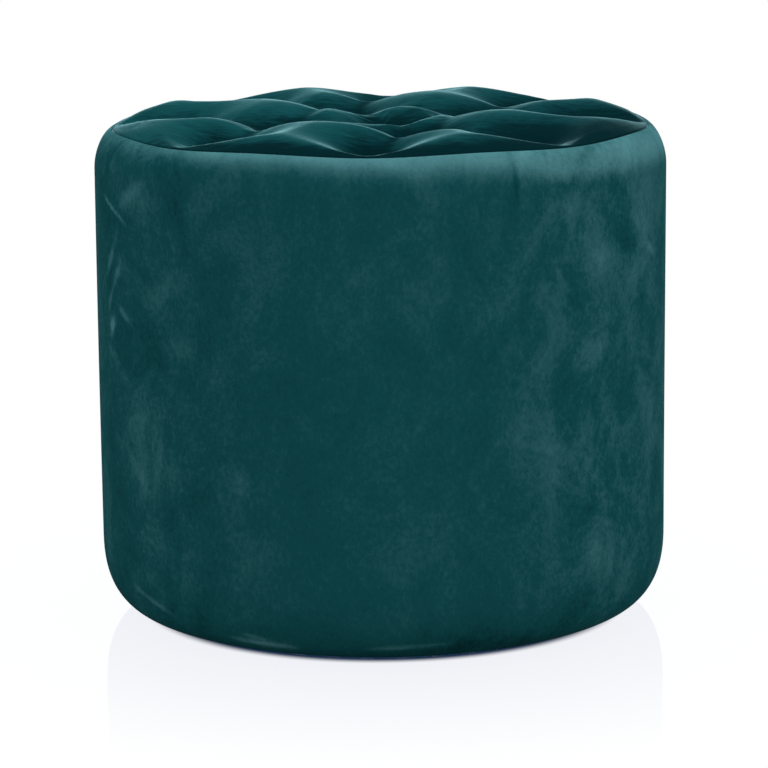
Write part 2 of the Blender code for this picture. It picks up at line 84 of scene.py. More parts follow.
class Wire:
    # A socket in a material's tree, so that shader maths can be written as Python.
    def __init__(self, tree, socket):
        self.tree = tree
        self.socket = socket

    def maths(self, operation, first, second):
        node = self.tree.nodes.new("ShaderNodeMath")
        node.operation = operation
        plug(self.tree, node.inputs[0], first)
        plug(self.tree, node.inputs[1], second)
        return Wire(self.tree, node.outputs[0])

    def __add__(self, other):
        return self.maths("ADD", self, other)

    def __radd__(self, other):
        return self.maths("ADD", other, self)

    def __sub__(self, other):
        return self.maths("SUBTRACT", self, other)

    def __rsub__(self, other):
        return self.maths("SUBTRACT", other, self)

    def __mul__(self, other):
        return self.maths("MULTIPLY", self, other)

    def __rmul__(self, other):
        return self.maths("MULTIPLY", other, self)

    def larger(self, other):
        return self.maths("MAXIMUM", self, other)


def plug(tree, socket, value):
    # Links a wire to a socket, or types a plain value into it.
    if isinstance(value, Wire):
        tree.links.new(value.socket, socket)
    else:
        socket.default_value = value


class Finish:
    # A tree of shader nodes being made, for a new material or for the world.
    def __init__(self, name, holder=None):
        self.holder = holder or bpy.data.materials.new(name)
        self.holder.use_nodes = True
        self.tree = self.holder.node_tree
        self.tree.nodes.clear()

    def node(self, kind, settings=None, output=0, **values):
        # Settings first, then values or wires by socket name, with _ for a space. Sockets that share
        # a name go by number: i6 is input 6.
        node = self.tree.nodes.new("ShaderNode" + kind)
        for name, value in (settings or {}).items():
            setattr(node, name, value)
        for name, value in values.items():
            key = int(name[1:]) if name[1:].isdigit() else name.replace("_", " ")
            plug(self.tree, node.inputs[key], value)
        return Wire(self.tree, node.outputs[output]) if len(node.outputs) else None

    def place(self):
        # Metres in the object's own frame.
        return self.node("TexCoord", output=3)

    def blend(self, factor, first, second):
        return self.node("Mix", {"data_type": "RGBA"}, 2, i0=factor, i6=first, i7=second)

    def mixed(self, factor, first, second):
        return self.node("MixShader", i0=factor, i1=first, i2=second)

    def noise(self, place, scale, detail=3.0, roughness=0.55, distortion=0.0):
        # A scale for each axis stretches the place first.
        if isinstance(scale, tuple):
            place, scale = self.node("Mapping", Vector=place, Scale=scale), 1.0
        return self.node("TexNoise", Vector=place, Scale=scale, Detail=detail, Roughness=roughness,
                         Distortion=distortion)

    def eased(self, wire, low, high):
        # From 0 at low to 1 at high, eased at both ends.
        return self.node("MapRange", {"interpolation_type": "SMOOTHSTEP"}, Value=wire, i1=low, i2=high)

    def bump(self, height, distance, strength=1.0, **under):
        # Another bump given as Normal lies under this one.
        return self.node("Bump", Height=height, Distance=distance, Strength=strength, **under)

    def surface(self, colour, roughness, relief, **more):
        return self.end(self.node("BsdfPrincipled", Base_Color=colour, Roughness=roughness,
                                  Normal=relief, **more))

    def end(self, shader, output="OutputMaterial"):
        self.node(output, Surface=shader)
        return self.holder


def screenColour(red, green, blue):
    # A screen colour, 0 to 255, as linear light.
    linear = [((value / 255 + 0.055) / 1.055) ** 2.4 for value in (red, green, blue)]
    return (*linear, 1)


# Finishes

velvet = {
    # The dark tone is also the painted shade's, and the pale one the painted highlight's
    "deep": screenColour(1, 29, 33),
    "body": screenColour(15, 64, 68),
    "light": screenColour(73, 121, 127),
    "sheenColour": (0.43, 0.87, 0.95, 1),
    "specular": 0.0,
    # How the pile lies on plain cloth, and where pile and painted light and shade turn the cloth dark and
    # pale
    "plain": 0.3,
    "deepReach": (0.0, 0.32),
    "lightReach": (0.3, 1.0),
    # How tightly specks and grain are set, and how far each layer moves the pile
    "specks": (760, 560, 1),
    "grain": (1500, 1200, 1),
    "patchDepth": 0.34,
    "turningPatches": 0.36,
    "speckDepth": 0.07,
    "turningSpecks": 0.16,
    "grainDepth": 0.04,
    "turningPeak": 8.0,
}

# Sheen and its roughness, how tightly patches and strokes are set, and the strokes' depth
piles = {
    "velvet with the pile upright": (0.03, 0.25, (17, 13, 1), (280, 190, 1), 0.24),
    "velvet with the pile across": (1.0, 0.17, (12, 20, 1), (55, 430, 1), 0.42),
}


def velvetFinish(name):
    # The attribute read here says how pale the cloth is, from 0, dark, through 0.3, the plain cloth, to
    # 1,
    # pale: in part how the pile lies, shut or brushed open, and in part painted highlight and painted
    # shade. Soft patches, strokes, specks and a fine grain break it up, most where it turns from one to
    # the other, and more where the unrest attribute is high.
    sheen, sheenRoughness, patchSize, strokeSize, strokeDepth = piles[name]
    made = Finish(name)
    cloth = made.node("UVMap", {"uv_map": "cloth"})
    patches = made.noise(cloth, patchSize, 6.0, 0.72, 0.5)
    strokes = made.noise(cloth, strokeSize, 4.0, 0.65, 0.5)
    specks = made.noise(cloth, velvet["specks"], 3.0, 0.65)
    grain = made.noise(cloth, velvet["grain"], 2.0, 0.7)
    # Pile and painted light and shade, as a value at each point
    readNapAndLight = made.node("Attribute", {"attribute_name": "nap"}, 2)
    unrest = made.node("Attribute", {"attribute_name": "unrest"}, 2)
    turning = (readNapAndLight - velvet["plain"]) * (1.0 - readNapAndLight) * velvet["turningPeak"]
    turning = made.node("Clamp", Value=turning)
    soft = (patches - 0.5) * (velvet["patchDepth"] + turning * velvet["turningPatches"])
    fine = (strokes - 0.5) * strokeDepth
    fine = fine + (specks - 0.5) * (velvet["speckDepth"] + turning * velvet["turningSpecks"])
    fine = fine + (grain - 0.5) * velvet["grainDepth"]
    nap = readNapAndLight + soft * (1.0 + unrest) + fine * (1.0 + 0.5 * unrest)
    low, high = velvet["lightReach"]
    base = made.blend(made.eased(nap, *velvet["deepReach"]), velvet["deep"], velvet["body"])
    base = made.blend(made.node("MapRange", Value=nap, i1=low, i2=high), base, velvet["light"])
    relief = made.bump(strokes * 0.6 + patches * 0.8, 0.0006, 0.35)
    relief = made.bump(grain, 0.0002, 0.2, Normal=relief)
    return made.surface(
        base, 0.8 + 0.15 * patches, relief, Specular_IOR_Level=velvet["specular"],
        Sheen_Weight=sheen, Sheen_Roughness=sheenRoughness, Sheen_Tint=velvet["sheenColour"],
    )


def foamFinish():
    made = Finish("foam")
    place = made.place()
    cells = made.node("TexVoronoi", Vector=place, Scale=900)
    cloudy = made.noise(place, 30)
    base = made.blend(cloudy, (0.66, 0.58, 0.38, 1), (0.85, 0.79, 0.62, 1))
    return made.surface(base, 0.95, made.bump(cells, 0.0006))


# Dark and light tone, how tightly the grain is drawn along each axis, and roughness
wood = {
    "birch plywood": ((0.55, 0.38, 0.21, 1), (0.74, 0.56, 0.36, 1), (8, 120, 700), 0.55),
    "pine": ((0.56, 0.36, 0.17, 1), (0.76, 0.56, 0.33, 1), (160, 160, 5), 0.6),
    "hardboard": ((0.20, 0.12, 0.06, 1), (0.36, 0.24, 0.14, 1), (500, 500, 500), 0.8),
}


def woodFinish(name):
    # Grain drawn out along one axis, over a slow change of tone.
    dark, light, stretch, roughness = wood[name]
    made = Finish(name)
    place = made.place()
    grain = made.noise(place, stretch, 4.0, 0.6, 0.8)
    tone = made.noise(place, 12)
    base = made.blend(made.eased(grain * 0.7 + tone * 0.3, 0.3, 0.7), dark, light)
    return made.surface(base, roughness + 0.1 * grain, made.bump(grain, 0.0003))


def steelFinish():
    made = Finish("zinc plated steel")
    cloudy = made.noise(made.place(), 500)
    base = made.blend(cloudy, (0.50, 0.49, 0.46, 1), (0.72, 0.71, 0.66, 1))
    return made.surface(base, 0.25 + 0.2 * cloudy, made.bump(cloudy, 0.0001), Metallic=1.0)


def twineFinish():
    # Plies that wind round the twine, as bands on a slant.
    made = Finish("waxed twine")
    plies = made.node("TexWave", {"bands_direction": "DIAGONAL"}, 1, Vector=made.place(), Scale=400)
    base = made.blend(plies, (0.38, 0.33, 0.24, 1), (0.62, 0.56, 0.44, 1))
    return made.surface(base, 0.65, made.bump(plies, 0.0003))


def dustClothFinish():
    # Non-woven cloth: fine fibres, pressed with small dots.
    made = Finish("dust cloth")
    place = made.place()
    dots = made.node("TexVoronoi", Vector=place, Scale=420, Randomness=0.15)
    dots = made.eased(dots, 0.15, 0.35)
    fibres = made.noise(place, (900, 2500, 1), 3.0, 0.7, 1.5)
    base = made.blend(fibres * 0.7 + dots * 0.3, (0.012, 0.012, 0.013, 1), (0.045, 0.045, 0.048, 1))
    return made.surface(base, 0.9, made.bump(dots + fibres * 0.4, 0.0002))


def plasticFinish():
    made = Finish("moulded plastic")
    place = made.place()
    texture = made.noise(place, 1400, 2.0)
    scuffs = made.noise(place, (90, 500, 90), 4.0, 0.7)
    scuffs = made.eased(scuffs, 0.55, 0.8)
    base = made.blend(scuffs, (0.022, 0.022, 0.023, 1), (0.09, 0.09, 0.088, 1))
    return made.surface(base, 0.42 + 0.3 * scuffs, made.bump(texture, 0.0001))


sideVelvet = velvetFinish("velvet with the pile upright")
topVelvet = velvetFinish("velvet with the pile across")
foam = foamFinish()
plywood = woodFinish("birch plywood")
pine = woodFinish("pine")
hardboard = woodFinish("hardboard")
steel = steelFinish()
twine = twineFinish()
dustCloth = dustClothFinish()
plastic = plasticFinish()
print("finishes made")


# Surfaces

backAngle = -math.pi / 2 - math.pi
quarterRows = 90


def shell(name, points, finish, slot, cloth=None, poles=False, **marks):
    # A closed surface from points[row, column]. Columns join up. Rows join up too, or with poles
    # close to one point at each end. cloth[row, column] holds the flat cloth's metres, with one
    # column more than the points. marks are values at the points, kept as attributes.
    rows, columns = points.shape[:2]
    if cloth is None:
        cloth = np.zeros((rows, columns + 1, 2))
    ids = np.arange(rows * columns).reshape(rows, columns)
    if poles:
        ids[0] = ids[0, 0]
        ids[-1] = ids[-1, 0]
        first, last = ids[:-1], ids[1:]
        clothNext = cloth[1:]
    else:
        first, last = ids, np.roll(ids, -1, 0)
        clothNext = np.concatenate([cloth[1:], cloth[-1:] + (cloth[-1:] - cloth[-2:-1])])
    clothFirst = cloth[:len(first)]
    corners = np.stack([first, last, np.roll(last, -1, 1), np.roll(first, -1, 1)], 2)
    flat = np.stack([clothFirst[:, :-1], clothNext[:, :-1], clothNext[:, 1:], clothFirst[:, 1:]], 2)
    a, b, c, d = (points.reshape(-1, 3)[corners[..., corner]] for corner in range(4))
    volume = (a * np.cross(b, c)).sum() + (a * np.cross(c, d)).sum()
    if volume < 0:
        corners, flat = corners[..., ::-1], flat[..., ::-1, :]
    corners, flat = corners.reshape(-1, 4), flat.reshape(-1, 4, 2)
    kept, renumbered = np.unique(corners, return_inverse=True)
    corners = renumbered.reshape(-1, 4)
    single = corners != np.roll(corners, -1, 1)   # a pole's quads have one side of no length
    mesh = bpy.data.meshes.new(name)
    faces = [face[keep].tolist() for face, keep in zip(corners, single)]
    mesh.from_pydata(points.reshape(-1, 3)[kept].tolist(), [], faces)
    spread = mesh.uv_layers.new(name="cloth")
    spread.data.foreach_set("uv", flat[single].ravel())
    for key, values in marks.items():
        mark = mesh.attributes.new(key, "FLOAT", "POINT")
        mark.data.foreach_set("value", values.reshape(-1)[kept])
    mesh.shade_smooth()
    mesh.materials.append(finish)
    piece = added(name, mesh)
    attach(piece, "root")
    return piece


def around(profile, angles):
    # Each (radius, height) of a profile, or of one profile per angle, carried round the axis.
    radius, height = profile[..., 0], profile[..., 1]
    if profile.ndim == 2:
        radius, height = (np.repeat(part[:, None], len(angles), 1) for part in (radius, height))
    return np.stack([radius * np.cos(angles), radius * np.sin(angles), height], 2)


def fullTurn(columns):
    # Angles of the columns, from the back.
    return backAngle + math.tau * np.arange(columns) / columns


def polar(radii, angles):
    # x and y of a grid, a radius for each row and an angle for each column.
    return radii[:, None] * np.cos(angles), radii[:, None] * np.sin(angles)


def closed(angles):
    # Angles of the flat cloth's columns: the last is the first again, a turn further on.
    return np.append(angles, angles[0] + math.tau)


def flatDisc(spread, angles):
    # The flat cloth of a round piece, by each row's distance from its middle.
    return np.stack(polar(spread, closed(angles)), 2)


def flatStrip(across, down):
    # The flat cloth of a piece that is cut straight: a place for each column and for each row.
    return np.stack(np.broadcast_arrays(across[None, :], down[:, None]), 2)


def andBack(outer, inner, rows):
    # The rows down an outer face, then some of those of its inner face, back up.
    return np.concatenate([outer, inner[rows][::-1]])


def fromLine(x, y, start, end):
    # Distance from the line between two points, and the share of its length that is nearest.
    run = end - start
    x, y = x - start[0], y - start[1]
    share = np.clip((x * run[0] + y * run[1]) / (run @ run), 0, 1)
    return np.hypot(x - share * run[0], y - share * run[1]), share


def along(points):
    # Distance of each point along a line of points.
    return np.concatenate([[0], np.cumsum(np.hypot(*np.diff(points, axis=0).T))])


def evenly(points, count):
    # A line of points again, as a number of points spread evenly along it.
    places = np.linspace(0, along(points)[-1], count)
    return np.stack([np.interp(places, along(points), points[:, axis]) for axis in range(2)], 1)


def facing(points):
    # Unit normals of a grid whose columns close up: the step down the rows crossed with the step
    # across the columns.
    normal = np.cross(np.gradient(points, axis=0), np.roll(points, -1, 1) - np.roll(points, 1, 1))
    length = np.linalg.norm(normal, axis=2)
    return normal / np.maximum(length, 1e-12)[..., None]


def squaredQuarter(width, height, squareness):
    # |x / width|^n + |y / height|^n = 1, from x = 0 round to y = 0.
    turn = np.linspace(math.pi / 2, 0, quarterRows)
    power = 2 / squareness
    return np.stack([width * np.cos(turn) ** power, height * np.sin(turn) ** power], 1)


def easeIn(values, low, high):
    # 3t^2 - 2t^3, from 0 at low to 1 at high.
    share = np.clip((values - low) / (high - low), 0, 1)
    return share * share * (3 - 2 * share)


def easeOut(values, low, high):
    # The same from 1 at low to 0 at high.
    return easeIn(-values, -high, -low)


# Velvet and foam round the side

coverLow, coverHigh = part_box("velvet_side_cover")
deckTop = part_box("seat_deck")[1].z
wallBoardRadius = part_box("side_wall")[1].x

drum = {
    "wallRadius": 0.250,
    "rimWidth": 0.0155,
    "rimDrop": 0.033,
    "rimSquareness": 1.8,
    "bottomWidth": 0.047,
    "bottomHeight": 0.066,
    "bottomSquareness": 2.45,
    "turnUnder": 0.015,
    "seamHeight": coverHigh.z,
    "underside": coverLow.z,
    "clothThickness": 0.0012,
    "gap": 0.0003,
    "seamAllowance": 0.008,
    "seamRoll": 0.0014,
    "seamWave": 0.002,
    "seamWaveReach": (0.052, 0.012),
    "backSeamReach": 0.006,
    "backSeamColumns": 12,
    "backSeamWidth": 0.0013,
    "backSeamDepth": 0.0012,
    "rollRows": 7,
    "lipRows": 12,
    "innerStep": 5,
    "rows": 170,
    "columns": 400,
    "foamRows": 90,
    "foamInsideRows": 40,
    "foamColumns": 240,
}
seamRadius = drum["wallRadius"] - drum["rimWidth"]

tufting = {
    "ring": 8,
    "ringInset": 0.0555,
    "inner": 4,
    "innerRadius": 0.091,
    "turn": math.radians(-92.3),
    "middle": (0.0052, -0.0225),
    "crown": 0.007,
    "crownPower": 2.0,
    "pillow": 0.021,
    "pillowSpread": 0.044,
    "foldRounding": 0.014,
    "foldBlend": 7.4,
    "foldFlat": 0.4,
    "seamSteepness": 1.2,
    "toSeam": 0.68,
    "toInner": 1.05,
    "betweenInner": (1.35, 1.2, 1.6, 0.85),
    "toMiddle": (1.15, 0.95, 0.75, 0.9),
    "waveReach": 0.05,
    "pit": 0.035,
    "pitSpread": 0.020,
    "pitFade": 0.012,
    "seatInner": 0.0082,
    "seatOuter": 0.0135,
    # Gathers round a button: depth, where they start and how soon they fade, then the strength of each
    # set, its number round and its turn from tuft to tuft
    "gathers": 0.00015,
    "gatherStart": 0.016,
    "gatherFade": 0.012,
    "gatherSets": [(1, 11, 2.1), (0.7, 6, 1)],
    "steepest": 2,
    "edgeRows": 9,
    "innerStep": 3,
    "padDepth": 0.0030,
    "padInset": 0.0018,
    "padStep": 2,
    "padEdgeRows": 5,
    "padSideRows": 12,
    "padUnderRows": 16,
    "rows": 132,
    "columns": 500,
}


def drumProfile(inset=0.0):
    # From the seam to the turned-under edge, drawn in by inset: rim and bottom are squared
    # quarter rounds, |r/a|^n + |z/b|^n = 1, and the wall between them is straight.
    rim = squaredQuarter(drum["rimWidth"] - inset, drum["rimDrop"] - inset, drum["rimSquareness"])
    rim = rim + (seamRadius, drum["seamHeight"] - drum["rimDrop"])
    bottom = squaredQuarter(drum["bottomWidth"] - inset, drum["bottomHeight"] - inset,
                            drum["bottomSquareness"])[::-1]
    centre = drum["wallRadius"] - drum["bottomWidth"]
    bottom = bottom * (1, -1) + (centre, drum["underside"] + drum["bottomHeight"])
    end = [[centre - drum["turnUnder"], drum["underside"] + inset]]
    return np.concatenate([rim, bottom, end])


def sideProfile():
    # The lip down in the seam, a quarter round over its edge, and the drum's outline.
    outline = drumProfile()
    lip = seamRadius + drum["gap"] / 2
    roll = drum["seamRoll"]
    turn = np.linspace(0, math.pi / 2, drum["rollRows"])
    edge = lip + roll * (1 - np.cos(turn))
    rim = outline[:quarterRows]
    start = np.count_nonzero(rim[:, 0] <= edge[-1])
    top = np.interp(edge, rim[:, 0], rim[:, 1])
    rolled = np.stack([edge, top - roll * (1 - np.sin(turn))], 1)
    hidden = [[lip, drum["seamHeight"] - drum["seamAllowance"]], [lip, rolled[0, 1] - roll]]
    outer = np.concatenate([rolled[-1:], outline[start:]])
    return np.concatenate([hidden, rolled[:-1], evenly(outer, drum["rows"])])


def outward(profile):
    # The unit normal at each point of a profile that runs from the top down its outer side.
    slope = np.gradient(profile, axis=0)
    normal = np.stack([-slope[:, 1], slope[:, 0]], 1)
    return normal / np.linalg.norm(normal, axis=1)[:, None]


def sideAngles():
    # Columns from the back seam round to it again, closer together beside it.
    near = np.linspace(0, drum["backSeamReach"], drum["backSeamColumns"], endpoint=False)
    near = near / drum["wallRadius"]
    between = np.linspace(near[-1] + near[1], math.tau - near[-1] - near[1], drum["columns"])
    return backAngle + np.concatenate([near, between, math.tau - near[:0:-1]])


def seamWave(angles):
    # How far the seam rises between the folds that pull it down: a (1 - cos n t) / 2.
    return drum["seamWave"] * (1 - np.cos(tufting["ring"] * (angles - tufting["turn"]))) / 2


def raised(profile, angles):
    # The seam's wave at each height of a profile, gone by seamWaveReach down the wall.
    low, high = (drum["seamHeight"] - reach for reach in drum["seamWaveReach"])
    return easeIn(profile[:, 1], low, high)[:, None] * seamWave(angles)[None, :]


draping = {
    # Each slow wave: how far it stands off, waves round, where it starts and how it leans with height
    "slow": [(0.0006, 2, 1.1, 3), (0.0004, 5, 0, -8)],
    "slowWhole": (0.03, 0.40),
    "slowBelowSeam": 0.004,
    "grooveBelowSeam": 0.012,
    # Small gathers: depth, the heights and the radii between which they rise, and the radii where they
    # fade again
    "gathers": 0.0004,
    "gatherHeights": (0.008, 0.03),
    "gatherRise": (0.194, 0.200),
    "gatherFade": (0.205, 0.213),
    "creaseLift": 0.0006,
}


def drape(angles, profile):
    # How far the side's cloth stands off its outline: slow waves down the wall, the groove of the
    # seam at the back, small gathers where the cloth turns under (74 round, bunched by a wave of 7,
    # over 31 wider ones) and the creases.
    turn = angles[None, :]
    height = profile[:, 1][:, None]
    radius = profile[:, 0][:, None]
    seam = drum["seamHeight"]
    foot, head = draping["slowWhole"]
    fade = easeIn(height, drum["underside"], foot)
    fade = fade * easeOut(height, head, seam - draping["slowBelowSeam"])
    slow = sum(
        size * np.sin(count * turn + begin + lean * height)
        for size, count, begin, lean in draping["slow"]
    )
    fromSeam = (turn - angles[0] + math.pi) % math.tau - math.pi
    fromSeam = fromSeam * drum["wallRadius"]
    groove = np.exp(-(fromSeam / drum["backSeamWidth"]) ** 2)
    groove = groove * easeOut(height, seam - draping["grooveBelowSeam"], seam)
    gathers = easeOut(height, *draping["gatherHeights"]) * easeIn(radius, *draping["gatherRise"])
    gathers = gathers * (1 - easeIn(radius, *draping["gatherFade"]))
    pleats = np.sin(74 * turn + 2.0 * np.sin(7 * turn)) + 0.6 * np.sin(31 * turn + 1.3)
    stand = fade * slow - drum["backSeamDepth"] * groove + draping["gathers"] * gathers * pleats
    return stand + draping["creaseLift"] * sum(creaseMarks(turn, height))


brushedAndPainted = {
    "patchStrength": 0.8,
    "creaseStrength": 1.4,
    "creaseTaper": 0.75,
    # The right side between two azimuths, with the degrees over which it starts and ends: how much
    # paler its wall is painted, as painted light from the right, how much darker the top of its rim is
    # painted, as painted shade, and how far the surface looks up there
    "rightStart": (10, 60),
    "rightEnd": (80, 120),
    "right": 0.035,
    "rightRim": 0.13,
    "rightRimReach": (0.5, 0.9),
    # How much darker the foot is, and between what heights
    "foot": 0.03,
    "footReach": (0.012, 0.09),
    # Degrees round from the front, height, half width and half height in millimetres, and how far the
    # pile is opened there, in hundredths
    "patches": [
        (45, 263, 16, 30, 13), (48, 334, 20, 26, 11), (50, 184, 30, 22, 11), (38, 380, 14, 22, 9),
        (44, 357, 22, 28, 7), (61, 375, 24, 35, 12), (66, 320, 16, 50, 7), (36, 319, 16, 20, 6),
        (47, 87, 26, 24, 10), (43, 150, 14, 30, 8), (34, 184, 10, 50, 6), (56, 60, 20, 20, 9),
        (32, 125, 18, 20, 4), (62, 230, 18, 40, 5), (27, 250, 20, 40, 3), (-50, 88, 22, 20, 8),
        (-40, 110, 20, 24, 5), (-58, 200, 20, 34, 5), (-42, 262, 18, 14, 7), (-34, 160, 40, 14, 5),
        (-50, 300, 16, 30, 4), (-24, 330, 30, 30, 3), (-66, 409, 8, 7, 22), (-71, 404, 4, 12, 16),
        (-47, 150, 26, 20, 6), (8, 300, 50, 40, 2), (120, 300, 40, 50, 8), (150, 180, 30, 60, 7),
        (-120, 220, 40, 50, 8), (-160, 310, 50, 30, 6), (95, 140, 30, 30, 7), (-95, 340, 30, 24, 6),
    ],
    # The same where it is shut
    "shut": [
        (41, 330, 14, 18, 7), (55, 340, 12, 16, 8), (52, 215, 16, 22, 8), (31, 395, 12, 14, 6),
        (-44, 380, 14, 16, 7), (-52, 270, 20, 24, 5), (68, 250, 10, 30, 6), (-28, 120, 40, 20, 5),
        (-12, 230, 50, 30, 3), (26.2, 410, 2.2, 22, 28), (25.2, 385, 6, 16, 8), (38, 400, 12, 10, 8),
        (18, 17, 36, 10, 16), (-25, 30, 20, 7, 10), (30, 12, 24, 10, 10), (135, 240, 30, 40, 6),
        (-140, 260, 40, 40, 6), (170, 120, 40, 30, 5),
    ],
    # Creases in the pile, in the same units: both ends, half width and strength. They lift the cloth a
    # little, and their paleness is in part crushed pile and in part painted highlight along the wrinkles
    "creases": [
        (-71.5, 381, -59.5, 361, 1.6, 35), (-63.2, 358, -65.3, 341, 3, 12),
        (-65.3, 341, -69.8, 313, 3, 30), (-62.5, 325, -65.9, 306, 3.5, 26),
        (-65.9, 306, -69.5, 282, 2.8, 26), (-64, 288, -58.6, 277, 3, 22),
        (-66.2, 278, -67.9, 262, 5, 42), (-53.4, 398, -61.8, 375, 6, 14), (-70, 250, -60, 225, 5, 7),
        (-62, 170, -52, 130, 6, 6), (-33, 19, -18, 16, 2.4, 28), (-30, 25, -24, 22, 1.8, 16),
        (-4, 17, 14, 21, 2.2, 20), (-60, 46, -47, 30, 2.4, 20), (64, 340, 70, 322, 3, 10),
        (112, 360, 121, 330, 3, 14), (-118, 150, -110, 120, 4, 12), (158, 90, 171, 70, 4, 10),
    ],
    # The painted highlight over the rim, by azimuth: how far the surface looks up where it starts and
    # where it is full, its strength, and the unrest of the whole wall there
    "band": [
        (-180, 0.11, 0.62, 0.50, 0.4), (-110, 0.12, 0.62, 0.46, 0.4), (-75, 0.20, 0.75, 0.24, 0.7),
        (-50, 0.24, 0.80, 0.27, 0.8), (-36, 0.20, 0.80, 0.37, 0.5), (-24, 0.20, 0.80, 0.38, 0.2),
        (-13, 0.19, 0.78, 0.44, 0.0), (0, 0.14, 0.68, 0.48, 0.0), (13, 0.13, 0.66, 0.47, 0.1),
        (26, 0.08, 0.55, 0.45, 0.4), (38, 0.05, 0.30, 0.42, 0.9), (53, 0.03, 0.40, 0.36, 1.0),
        (70, 0.03, 0.40, 0.34, 0.9), (110, 0.10, 0.60, 0.45, 0.4), (180, 0.11, 0.62, 0.50, 0.4),
    ],
}


def fromFront(turn):
    # Degrees round from the front, towards +X.
    return (np.degrees(turn) + 90 + 180) % 360 - 180


def brushMarks(kind, turn, height):
    # Round soft patches: exp(-(across/w)^2 - (up/h)^2).
    for azimuth, *sizes, strength in brushedAndPainted[kind]:
        place, wide, tall = (size / 1000 for size in sizes)
        across = np.radians(fromFront(turn) - azimuth) * drum["wallRadius"] / wide
        yield strength / 100 * np.exp(-across ** 2 - ((height - place) / tall) ** 2)


def creaseMarks(turn, height):
    # Long marks: exp(-(distance from a line / width)^2).
    for firstTurn, firstHeight, lastTurn, lastHeight, width, strength in brushedAndPainted["creases"]:
        start = np.array([math.radians(firstTurn) * drum["wallRadius"], firstHeight / 1000])
        end = np.array([math.radians(lastTurn) * drum["wallRadius"], lastHeight / 1000])
        across = np.radians(fromFront(turn)) * drum["wallRadius"]
        away, share = fromLine(across, height, start, end)
        taper = 1 - brushedAndPainted["creaseTaper"] * (2 * share - 1) ** 2
        yield strength / 100 * taper * np.exp(-(away * 1000 / width) ** 2)


def sideNapAndPaintedLight(points, angles):
    # Painted highlight over the rim, by how far the surface looks up, and painted light on the right
    # side, with the pile's patches and creases over it and darker towards the foot. Also how uneven it
    # is.
    rise = facing(points)[..., 2]
    turn = angles[None, :]
    height = points[..., 2]
    azimuth = fromFront(turn)
    table = np.array(brushedAndPainted["band"])
    low, high, strength, unrest = (np.interp(azimuth, table[:, 0], part) for part in table[:, 1:].T)
    # Painted light on the right side
    right = easeIn(azimuth, *brushedAndPainted["rightStart"]) * easeOut(azimuth, *brushedAndPainted["rightEnd"])
    rim = brushedAndPainted["rightRim"] * right * easeIn(rise, *brushedAndPainted["rightRimReach"])
    # Painted highlight over the rim where the surface looks up, less painted shade on the right rim, and
    # painted light on the right wall
    nap = velvet["plain"] + (easeIn(rise, low, high) * strength - rim) + brushedAndPainted["right"] * right
    patches = sum(brushMarks("patches", turn, height)) - sum(brushMarks("shut", turn, height))
    # Creases: crushed pile in part, painted highlight along the wrinkles in part
    creases = brushedAndPainted["creaseStrength"] * sum(creaseMarks(turn, height))
    foot = brushedAndPainted["foot"] * easeOut(height, *brushedAndPainted["footReach"])
    nap = nap + brushedAndPainted["patchStrength"] * patches + creases - foot
    return nap, np.broadcast_to(unrest, nap.shape)


def sideCloth():
    angles = sideAngles()
    profile = sideProfile()
    normal = outward(profile)
    stand = drape(angles, profile)
    outer = profile[:, None, :] + normal[:, None, :] * stand[..., None]
    outer[..., 1] += raised(profile, angles)
    inner = outer - normal[:, None, :] * drum["clothThickness"]
    lip, last = drum["lipRows"], len(profile) - 1
    fewer = np.r_[0:lip, lip:last:drum["innerStep"], last]
    points = around(andBack(outer, inner, fewer), angles)
    down = along(profile)
    cloth = flatStrip(closed(angles) * drum["wallRadius"], andBack(down, down, fewer))
    nap, unrest = (andBack(part, part, fewer) for part in sideNapAndPaintedLight(around(outer, angles), angles))
    piece = shell("side_cloth", points, sideVelvet, "velvet", cloth, nap=nap, unrest=unrest)
    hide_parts("velvet_side_cover")


def sideFoam():
    # The foam under the side cloth: its outline set in by the cloth and a little air, carried down
    # inside along the drum's board.
    angles = fullTurn(drum["foamColumns"])
    inset = drum["clothThickness"] + drum["gap"]
    bore = wallBoardRadius + drum["gap"]
    lip = seamRadius + drum["gap"] + inset
    outline = drumProfile(inset)
    outline = outline[(outline[:, 0] >= lip) | (outline[:, 1] < deckTop)]
    outline = outline[(outline[:, 0] >= bore) | (outline[:, 1] > deckTop)]
    outline = evenly(outline, drum["foamRows"])
    stand = drape(angles, outline) - drum["gap"]
    face = outline[:, None, :] + outward(outline)[:, None, :] * stand[..., None]
    face[..., 1] += raised(outline, angles)
    corners = [[bore, outline[-1, 1]], [bore, deckTop], [lip, deckTop]]
    inside = evenly(np.array(corners), drum["foamInsideRows"])
    down = np.concatenate([along(outline), along(outline)[-1] + along(inside)])
    inside = np.repeat(inside[:, None, :], len(angles), 1)
    points = around(np.concatenate([face, inside]), angles)
    cloth = flatStrip(closed(angles) * drum["wallRadius"], down)
    piece = shell("side_foam_wrap", points, foam, "foam", cloth)
    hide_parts("side_foam")


sideCloth()
sideFoam()
print("side cloth and foam made")


# Tufted velvet top

def tuftPlaces():
    # An outer ring, an inner ring half a step round and drawn towards the middle, and the middle.
    ringRadius = seamRadius - tufting["ringInset"]
    middle = np.array(tufting["middle"])
    turn = tufting["turn"] + math.tau / tufting["ring"] * np.arange(tufting["ring"])
    ring = ringRadius * np.stack([np.cos(turn), np.sin(turn)], 1)
    step = math.tau / tufting["inner"]
    turn = tufting["turn"] + math.pi / tufting["ring"] + step * np.arange(tufting["inner"])
    inner = tufting["innerRadius"] * np.stack([np.cos(turn), np.sin(turn)], 1)
    inner = inner + middle * (1 - tufting["innerRadius"] / ringRadius)
    return ring, inner, middle


ringTufts, innerTufts, middleTuft = tuftPlaces()
tufts = np.concatenate([ringTufts, innerTufts, [middleTuft]])


